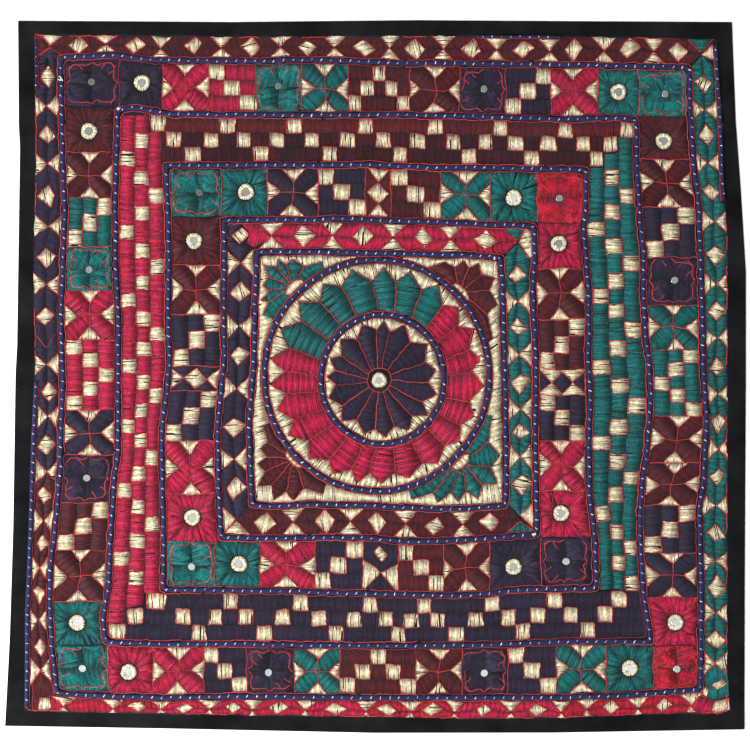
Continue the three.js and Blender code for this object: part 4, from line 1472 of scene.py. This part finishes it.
cord_pieces = {}
couching = []
for name, (points, closed, width) in cord_lines.items():
    way = spread(points, CORD_STEP, closed)
    sway = rng.normal(0, 0.35, way.shape)
    if closed:
        way = rounded(way, 3) + (sway + np.roll(sway, 1, 0) + np.roll(sway, 2, 0)) / 3
    mesh = bpy.data.meshes.new(name)
    count = len(way)
    edges = [(i, (i + 1) % count) for i in range(count if closed else count - 1)]
    places = np.column_stack([way, np.full(count, CORD_MIDDLE)]) * MM
    mesh.from_pydata(places.tolist(), edges, [])
    sizes = {"Width": width * MM, "Height": min(width, CORD_HEIGHT) * MM, "Finish": CORD_BLUE}
    cord_pieces[name] = grown(f"couched_{name}", CORD_TREE, mesh, sizes)
    ahead = np.roll(way, -1, axis=0) - way
    for i in range(2, count - 2, 4):
        turn = turn_of(ahead[i]) + rng.normal(1.05, 0.16)
        x, y = way[i] + rng.normal(0, 0.4, 2)
        length = rng.uniform(3.4, 5.2) * width / CORD_WIDTH
        couching.append((x, y, COUCHING_HEIGHT, turn, length, rng.uniform(0.9, 1.35), rng.uniform(0, 1)))
print("couching stitches:", len(couching))

# %% Couching stitches and knots
for knot in KNOTS:
    for _ in range(4):
        turn = rng.uniform(0, np.pi)
        x, y = knot + rng.normal(0, 0.9, 2)
        couching.append((x, y, KNOT_HEIGHT, turn, rng.uniform(3, 6), 1.6, 0.6))
couching_piece = grown(
    "couching_stitches", THREAD_TREE, thread_points("couching", couching),
    {"Finish": WHITE_THREAD, "Segments": 4, "Sides": 4, "Arch": 0.75, "Thin ends": 0.5, "Height": 0.7},
)

# %% [markdown]
# ## Mirrors and their rings
# The mirrors are hand-cut glass. A wide ring of buttonhole stitches holds each big one, and the small
# ones in the stars lie bare between the satin threads. The stitches of a ring stand side by side
# like the spokes of a wheel, over a soft padding.

# %% Mirrors
def plain_mesh(name, places, faces, finish, smooth=True):
    """A mesh from places in millimetres, as an object in the scene."""
    mesh = bpy.data.meshes.new(name)
    mesh.from_pydata((np.asarray(places) * MM).tolist(), [], [tuple(int(i) for i in face) for face in faces])
    mesh.materials.append(finish)
    mesh.polygons.foreach_set("use_smooth", [smooth] * len(mesh.polygons))
    mesh.update()
    piece = bpy.data.objects.new(name, mesh)
    bpy.context.scene.collection.objects.link(piece)
    return piece


def lathe_faces(sides, rings, first, closed_ring):
    """Quads between rings of points, each with the same number of sides."""
    low = first + np.arange(rings * sides).reshape(rings, sides)
    high = np.roll(low, -1, axis=0)
    if not closed_ring:
        low, high = low[:-1], high[:-1]
    corners = (low, np.roll(low, -1, axis=1), np.roll(high, -1, axis=1), high)
    return list(zip(*(corner.ravel() for corner in corners)))


MIRROR_SIDES = 28
# The levels of a mirror's edge, from below: share of its radius, and height
MIRROR_LEVELS = [
    (0.97, MIRROR_BOTTOM), (1.0, MIRROR_BOTTOM + 0.2), (1.0, MIRROR_TOP - 0.15), (0.96, MIRROR_TOP),
]
RING_EDGES = {"ring": (5.4, 11.0), "centre": (4.6, 10.4)}
RING_HEIGHT = 1.75  # of the padding's middle and of its stitches
SPOKES = 40
mirror_places, mirror_faces = [], []
ring_places, ring_faces, ring_stitches = [], [], []
angle = 2 * np.pi * np.arange(MIRROR_SIDES) / MIRROR_SIDES
cos, sin = np.cos(angle), np.sin(angle)
for kind, x, y in MIRRORS:
    long_wave, short_wave = (np.sin(waves * angle + rng.uniform(0, 6)) for waves in (2, 5))
    cut = MIRROR_RADIUS[kind] * (1 + 0.035 * long_wave + 0.015 * short_wave)
    tilt = rng.normal(0, 0.018, 2)
    first = len(mirror_places)
    for share, height in MIRROR_LEVELS:
        px, py = share * cut * cos, share * cut * sin
        mirror_places += list(zip(x + px, y + py, height + px * tilt[0] + py * tilt[1]))
    mirror_faces += lathe_faces(MIRROR_SIDES, 4, first, False)
    mirror_faces.append(list(range(first + MIRROR_SIDES - 1, first - 1, -1)))
    mirror_faces.append(list(range(first + 3 * MIRROR_SIDES, first + 4 * MIRROR_SIDES)))
    if kind == "star":
        continue
    inner, outer = RING_EDGES[kind]
    middle, half_width = (inner + outer) / 2, (outer - inner) / 2
    scallop = 1 + 0.04 * np.sin(3 * angle + rng.uniform(0, 6)) + 0.02 * rng.normal(0, 1, MIRROR_SIDES)
    first = len(ring_places)
    for around in 2 * np.pi * np.arange(8) / 8:
        distance = (middle - half_width * 0.85 * np.cos(around)) * scallop
        height = np.full(MIRROR_SIDES, RING_HEIGHT + 0.75 * np.sin(around))
        ring_places += list(zip(x + distance * cos, y + distance * sin, height))
    ring_faces += lathe_faces(MIRROR_SIDES, 8, first, True)
    for number in range(SPOKES):
        way = 2 * np.pi * (number + rng.uniform(-0.15, 0.15)) / SPOKES
        reach = (outer - inner) * rng.uniform(0.98, 1.1)
        away = (middle + rng.uniform(-0.1, 0.35)) * np.interp(way % (2 * np.pi), angle, scallop)
        girth = 2 * np.pi * away / SPOKES * rng.uniform(0.7, 0.92)
        place = (x + away * np.cos(way), y + away * np.sin(way), RING_HEIGHT)
        ring_stitches.append((*place, way + rng.normal(0, 0.06), reach, girth, rng.normal(0.55, 0.18)))
print("mirrors:", len(MIRRORS), "ring stitches:", len(ring_stitches))

# %% Mirror glass
def mirror_finish():
    """Old silvered glass with faint cloud-like spots. Its pale, greyish colour is a painted reflection, mixed
    from a dim and a bright copy by each mirror's painted_shine attribute.
    """
    finish, tree, shader = new_finish("mirror_glass", Metallic=0.85, Roughness=0.16)
    clouds = texture(tree, "Noise", Scale=160.0, Detail=4.0)["Fac"]
    painted_shine = add(tree, "ShaderNodeAttribute", attribute_name="painted_shine")["Fac"]
    # Painted reflection: a dim grey and a bright white copy of the glass, both with the cloud-like spots
    dim_painted_reflection = mix_colours(tree, clouds, linear(60, 66, 58), linear(112, 124, 116))
    bright_painted_reflection = mix_colours(tree, clouds, linear(206, 216, 216), linear(255, 255, 255))
    dress(tree, shader, mix_colours(tree, painted_shine, dim_painted_reflection, bright_painted_reflection), clouds, 0.12, 0.001)
    return finish


mirror_piece = plain_mesh("mirror_discs", mirror_places, mirror_faces, mirror_finish(), smooth=False)
# Painted light: the mirrors nearer to the lower side, towards the lamp, get more of the bright painted
# reflection, each with a random share besides
painted_shines = np.clip(0.55 - MIRROR_PLACES[:, 1] / 1100 + rng.normal(0, 0.17, len(MIRRORS)), 0.1, 1)
faces_each = len(mirror_faces) // len(MIRRORS)
painted_shine = mirror_piece.data.attributes.new("painted_shine", "FLOAT", "FACE")
painted_shine.data.foreach_set("value", np.repeat(painted_shines, faces_each))
# Painted shade: the padding is a darker tan than the ring's thread, so the gaps between the stitches read
# dark
PADDING_PAINTED_SHADE = floss_finish("ring_padding_painted_shade", (70, 58, 38), (150, 132, 92), (120, 104, 72))
ring_base = plain_mesh("ring_padding", ring_places, ring_faces, PADDING_PAINTED_SHADE)
ring_piece = grown(
    "buttonhole_rings", THREAD_TREE, thread_points("rings", ring_stitches),
    {"Finish": RING_THREAD, "Segments": 4, "Sides": 4, "Arch": 1.15, "Thin ends": 0.3, "Height": 0.75},
)

# %% [markdown]
# ## The dark ground
# Under all the stitches lies a dark cotton cloth. It shows in the channels beside the cords and as
# thin dark gaps between threads. The panel is one closed sheet, made by spreading a grid between its
# four bowed sides.

# %% Ground sheet
# Maroon, plum, teal, crimson, cream and plum, for the threads on the back
BACK_SHADES = [(60, 24, 34), (48, 40, 62), (16, 84, 82), (150, 24, 60), (190, 178, 140), (48, 40, 62)]


def back_colour(tree, dark):
    """The back of the stitching: rows of short coloured threads."""
    lie = texture(tree, "Voronoi", Scale=34.0)["Color"]
    rows = texture(tree, "Wave", Scale=150.0, Distortion=4.0, Detail=2.0)["Fac"]
    ramp = tree.nodes.new("ShaderNodeValToRGB")
    join(tree, lie, ramp.inputs["Fac"])
    ramp.color_ramp.interpolation = "CONSTANT"
    elements = ramp.color_ramp.elements
    for number, shade in enumerate(BACK_SHADES):
        element = elements[number] if number < 2 else elements.new(number / len(BACK_SHADES))
        element.position = number / len(BACK_SHADES)
        element.color = linear(*shade)
    return mix_colours(tree, rows, linear(*dark), ramp.outputs["Color"])


def cotton_finish(name, dark, light, weave, backs=False):
    """Plain weave: crossed ribs in the cloth's own plane, a little faded in clouds."""
    finish, tree, shader = new_finish(name, Roughness=0.9, Sheen_Weight=0.04, Specular_IOR_Level=0.06)
    warp = texture(tree, "Wave", Scale=weave, Distortion=0.6, Detail=1.0)["Fac"]
    weft = texture(tree, "Wave", bands_direction="Y", Scale=weave, Distortion=0.6, Detail=1.0)["Fac"]
    clouds = texture(tree, "Noise", Scale=14.0, Detail=6.0, Roughness=0.62)["Fac"]
    lint = texture(tree, "Noise", Scale=420.0, Detail=3.0)["Fac"]
    base = mix_colours(tree, remap(tree, clouds, 0.35, 0.72), linear(*dark), linear(*light))
    colour = mix_colours(tree, 0.6, mix_colours(tree, lint, linear(*dark), base), base)
    if backs:
        normal = add(tree, "ShaderNodeNewGeometry")["True Normal"]
        below = maths(tree, "LESS_THAN", add(tree, "ShaderNodeSeparateXYZ", normal)["Z"], -0.5)
        colour = mix_colours(tree, below, colour, back_colour(tree, dark))
    dress(tree, shader, colour, maths(tree, "MULTIPLY", warp, weft), 0.35, 0.0004)
    return finish


def sheet_mesh(name, grid, top, finish):
    """A closed sheet from a grid of places (rows, columns, 2): flat below, its own height above."""
    rows, columns = grid.shape[:2]
    flat = grid.reshape(-1, 2)
    count = rows * columns
    places = np.concatenate([np.column_stack([flat, top.ravel()]), np.column_stack([flat, np.zeros(count)])])
    index = np.arange(count).reshape(rows, columns)
    quads = (index[:-1, :-1], index[:-1, 1:], index[1:, 1:], index[1:, :-1])
    a, b, c, d = (corner.ravel() for corner in quads)
    faces = [*zip(a, b, c, d), *zip(d + count, c + count, b + count, a + count)]
    rim = [*index[0, :], *index[1:, -1], *index[-1, -2::-1], *index[-2:0:-1, 0]]
    faces += [(i, i + count, j + count, j) for i, j in zip(rim, [*rim[1:], rim[0]])]
    piece = plain_mesh(name, places, faces, finish)
    mesh = piece.data
    # The first face tells whether the grid ran clockwise, and then all faces turn over
    if mesh.polygons[0].normal.z < 0:
        mesh.flip_normals()
    mesh.set_sharp_from_angle(angle=0.9)
    return piece


def side_stretch(line, side, gap):
    """The points of one side, once its line has moved outwards."""
    points = moved(loop_points(line), gap)
    starts = np.cumsum([0, *[len(side_points(line, name)) - 1 for name in SIDES]])
    which = SIDES.index(side)
    return np.concatenate([points, points[:1]])[starts[which] : starts[which + 1] + 1]


def side_curve(side, share):
    """Places along one side of the panel's edge, at shares of its length."""
    stretch = side_stretch("panel_edge", side, 0)
    lengths = np.linalg.norm(np.diff(stretch, axis=0), axis=1)
    at = np.concatenate([[0], np.cumsum(lengths)]) / lengths.sum()
    return np.stack([np.interp(share, at, stretch[:, i]) for i in range(2)], 1)


GROUND_CELLS = 72
share = np.linspace(0, 1, GROUND_CELLS + 1)
top, right, bottom, left = (side_curve(side, share) for side in SIDES)
bottom, left = bottom[::-1], left[::-1]
u, v = share[None, :, None], share[:, None, None]
grid = (1 - v) * top[None] + v * bottom[None] + (1 - u) * left[:, None] + u * right[:, None]
grid -= (1 - u) * (1 - v) * top[0] + u * (1 - v) * top[-1] + (1 - u) * v * bottom[0] + u * v * bottom[-1]
ripple = 0.08 * np.sin(grid[..., 0] / 37 + 1) * np.sin(grid[..., 1] / 29)
ripple += rng.normal(0, 0.02, grid.shape[:2])
GROUND_COTTON = cotton_finish("ground_cotton", (12, 12, 15), (40, 42, 48), 900.0, backs=True)
ground = sheet_mesh("ground_sheet", grid, GROUND_TOP - 0.05 + ripple, GROUND_COTTON)
print("ground:", len(ground.data.polygons), "faces")

# %% [markdown]
# ## The black border
# Four strips of plain black cotton are sewn round the panel. Long shallow creases and a turned hem
# make them look soft. Each strip is a grid between the cloth's outer edge and the panel's edge. The
# strips lap over the panel and each other a little, so that no pale floor shows in the seams.

# %% Border strips
SEAM_DROP = 1.4  # from the panel's corners inwards to the seams of the top and the bottom strip
LAP = 0.2
CREASES = 46  # in each strip
SEAM_END = 505  # about where the seams reach the cloth's edge, to either side of the middle
BORDER_ROWS = 8
X_COUNT, Y_COUNT = 150, 140


def slice_line(line, side, gap, axis, values):
    """The places where a side reaches given x or y values, for axis 0 or 1."""
    stretch = side_stretch(line, side, gap)
    order = np.argsort(stretch[:, axis])
    other = np.interp(values, stretch[order, axis], stretch[order, 1 - axis])
    return np.stack([values, other] if axis == 0 else [other, values], 1)


corners = LINES["panel_edge"]["corners"]
cloth_corners = LINES["cloth_edge"]["corners"]


def seam_height(edge, x):
    """The height of the top or the bottom seam at a place, carried on past the panel's corners."""
    left, right, inwards = (0, 1, -SEAM_DROP) if edge == "top" else (3, 2, SEAM_DROP)
    start, end = corners[left][1] + inwards, corners[right][1] + inwards
    slope = (end - start) / (corners[1][0] - corners[0][0])
    return start + slope * (x - corners[0][0])


def border_grid(side):
    """A strip's places in rows, from the cloth's edge to the panel's."""
    if side in ("top", "bottom"):
        first, last = (0, 1) if side == "top" else (3, 2)
        outer_x = np.linspace(cloth_corners[first][0], cloth_corners[last][0], X_COUNT)
        outer = slice_line("cloth_edge", side, 0, 0, outer_x)
        ends = [slice_line("cloth_edge", next_side, 0, 1, np.array([seam_height(side, x)]))[0]
                for next_side, x in (("left", -SEAM_END), ("right", SEAM_END))]
        inner_x = np.linspace(ends[0][0], ends[1][0], X_COUNT)
        # Two columns stand at each corner of the panel, so that the seam turns there and not before it
        for corner_x, step in ((corners[first][0], 1), (corners[last][0], -1)):
            nearest = np.abs(inner_x - corner_x).argmin()
            inner_x[nearest], inner_x[nearest + step] = corner_x - 0.4 * step, corner_x
        inner = slice_line("panel_edge", side, -LAP, 0, inner_x)
        beyond = (inner_x < corners[first][0]) | (inner_x > corners[last][0])
        inner[beyond, 1] = seam_height(side, inner_x[beyond])
        inner[0], inner[-1] = ends
    else:
        panel_side = slice_line("panel_edge", side, -LAP, 1, np.linspace(-480, 480, 5))[:, 0].mean()
        high = seam_height("top", panel_side) + LAP
        low = seam_height("bottom", panel_side) - LAP
        heights = np.linspace(high, low, Y_COUNT)
        outer = slice_line("cloth_edge", side, 0, 1, heights)
        inner = slice_line("panel_edge", side, -LAP, 1, heights)
    share = np.linspace(0, 1, BORDER_ROWS + 1)[:, None, None]
    return outer[None] * (1 - share) + inner[None] * share


def crease_height(grid, seed):
    """The hem's ridge, shallow creases across the strip and a soft roll towards both edges."""
    pick = np.random.default_rng(seed)
    rows, columns = grid.shape[:2]
    share = np.linspace(0, 1, rows)[:, None]
    along = np.linspace(0, 1, columns)[None, :]
    height = BORDER_TOP - 0.35 * (2 * share - 1) ** 6 + 0.15 * np.exp(-(((share - 0.22) / 0.1) ** 2))
    for _ in range(CREASES):
        at, width, depth = pick.uniform(0, 1), pick.uniform(0.004, 0.02), pick.uniform(-0.28, 0.22)
        lean = pick.uniform(-0.04, 0.04)
        height = height + depth * np.exp(-(((along - at - lean * share) / width) ** 2)) * (0.4 + 0.6 * share)
    return height


BORDER_COTTON = cotton_finish("border_cotton", (5, 5, 6), (25, 26, 28), 700.0)
border_pieces = {}
for number, side in enumerate(SIDES):
    grid = border_grid(side)
    height = crease_height(grid, 40 + number)
    border_pieces[side] = sheet_mesh(f"border_{side}_cotton", grid, height, BORDER_COTTON)
    print("border", side, "from", grid.min(axis=(0, 1)).round(1), "to", grid.max(axis=(0, 1)).round(1))

# %% [markdown]
# ## Floor, light and camera
# The cloth lies on a plain pale floor under a big soft light, and the camera looks straight down on
# it, as in the photo. The camera stands so high that a pixel is 1.4 millimetres wide on the cloth.

# %% Floor, light and camera
def floor_finish():
    finish, tree, shader = new_finish("pale_floor", Roughness=0.9)
    grain = texture(tree, "Noise", Scale=8.0, Detail=3.0)["Fac"]
    pale = mix_colours(tree, grain, linear(244, 244, 244), linear(250, 250, 250))
    join(tree, pale, shader.inputs["Base Color"])
    return finish


FLOOR_HALF = 6000
FLOOR_HEIGHT = -0.4
floor_corners = ((-1, -1), (1, -1), (1, 1), (-1, 1))
floor_places = [(x * FLOOR_HALF, y * FLOOR_HALF, FLOOR_HEIGHT) for x, y in floor_corners]
floor = plain_mesh("floor", floor_places, [(0, 1, 2, 3)], floor_finish(), smooth=False)

world = bpy.data.worlds.new("studio")
bpy.context.scene.world = world
world.use_nodes = True
background = world.node_tree.nodes["Background"]
background.inputs["Color"].default_value = (1, 1, 1, 1)
background.inputs["Strength"].default_value = 0.7


def soft_light(name, place, size, power):
    """A square lamp that points at the middle of the cloth."""
    lamp = bpy.data.lights.new(name, "AREA")
    lamp.shape = "SQUARE"
    lamp.size = size
    lamp.energy = power
    light = bpy.data.objects.new(name, lamp)
    bpy.context.scene.collection.objects.link(light)
    light.location = place
    light.rotation_euler = (-Vector(place)).to_track_quat("-Z", "Y").to_euler()


soft_light("window", (-2.0, -1.1, 1.8), 1.6, 170)
soft_light("fill", (1.8, 1.8, 2.6), 2.0, 30)

PICTURE_WIDTH = 750 * 1.4  # pixels, each 1.4 millimetres wide on the cloth
CAMERA_OVER = (-0.7, 2.2)  # the photo's middle isn't quite the cloth's
FOCAL_LENGTH, SENSOR_WIDTH = 100.0, 36.0
camera_data = bpy.data.cameras.new("camera")
camera_data.lens = FOCAL_LENGTH
camera_data.sensor_width = SENSOR_WIDTH
camera = bpy.data.objects.new("camera", camera_data)
bpy.context.scene.collection.objects.link(camera)
distance = PICTURE_WIDTH * FOCAL_LENGTH / SENSOR_WIDTH
camera.location = np.array([*CAMERA_OVER, distance + GROUND_TOP]) * MM
bpy.context.scene.camera = camera
bpy.context.scene.view_settings.view_transform = "Standard"
print("camera", round(distance), "mm above the cloth")

# %% [markdown]
# ## Put each piece on the body
# Every piece rides on the one body, and the CAD pieces that it covers are hidden. The ground and the
# border strips are sheets of cloth laid on the floor.

embroidery = [*stitch_pieces, *red_pieces, ring_base, ring_piece]
on_panel = [*embroidery, couching_piece, mirror_piece, *cord_pieces.values()]
for piece in [ground, *on_panel, *border_pieces.values()]:
    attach(piece, "root")
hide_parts("embroidered_panel")
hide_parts(*[f"mirror_{kind}_{number}" for number, (kind, _, _) in enumerate(MIRRORS, 1)])
for name, piece in cord_pieces.items():
    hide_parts(name)
for side, piece in border_pieces.items():
    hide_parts(f"border_{side}")
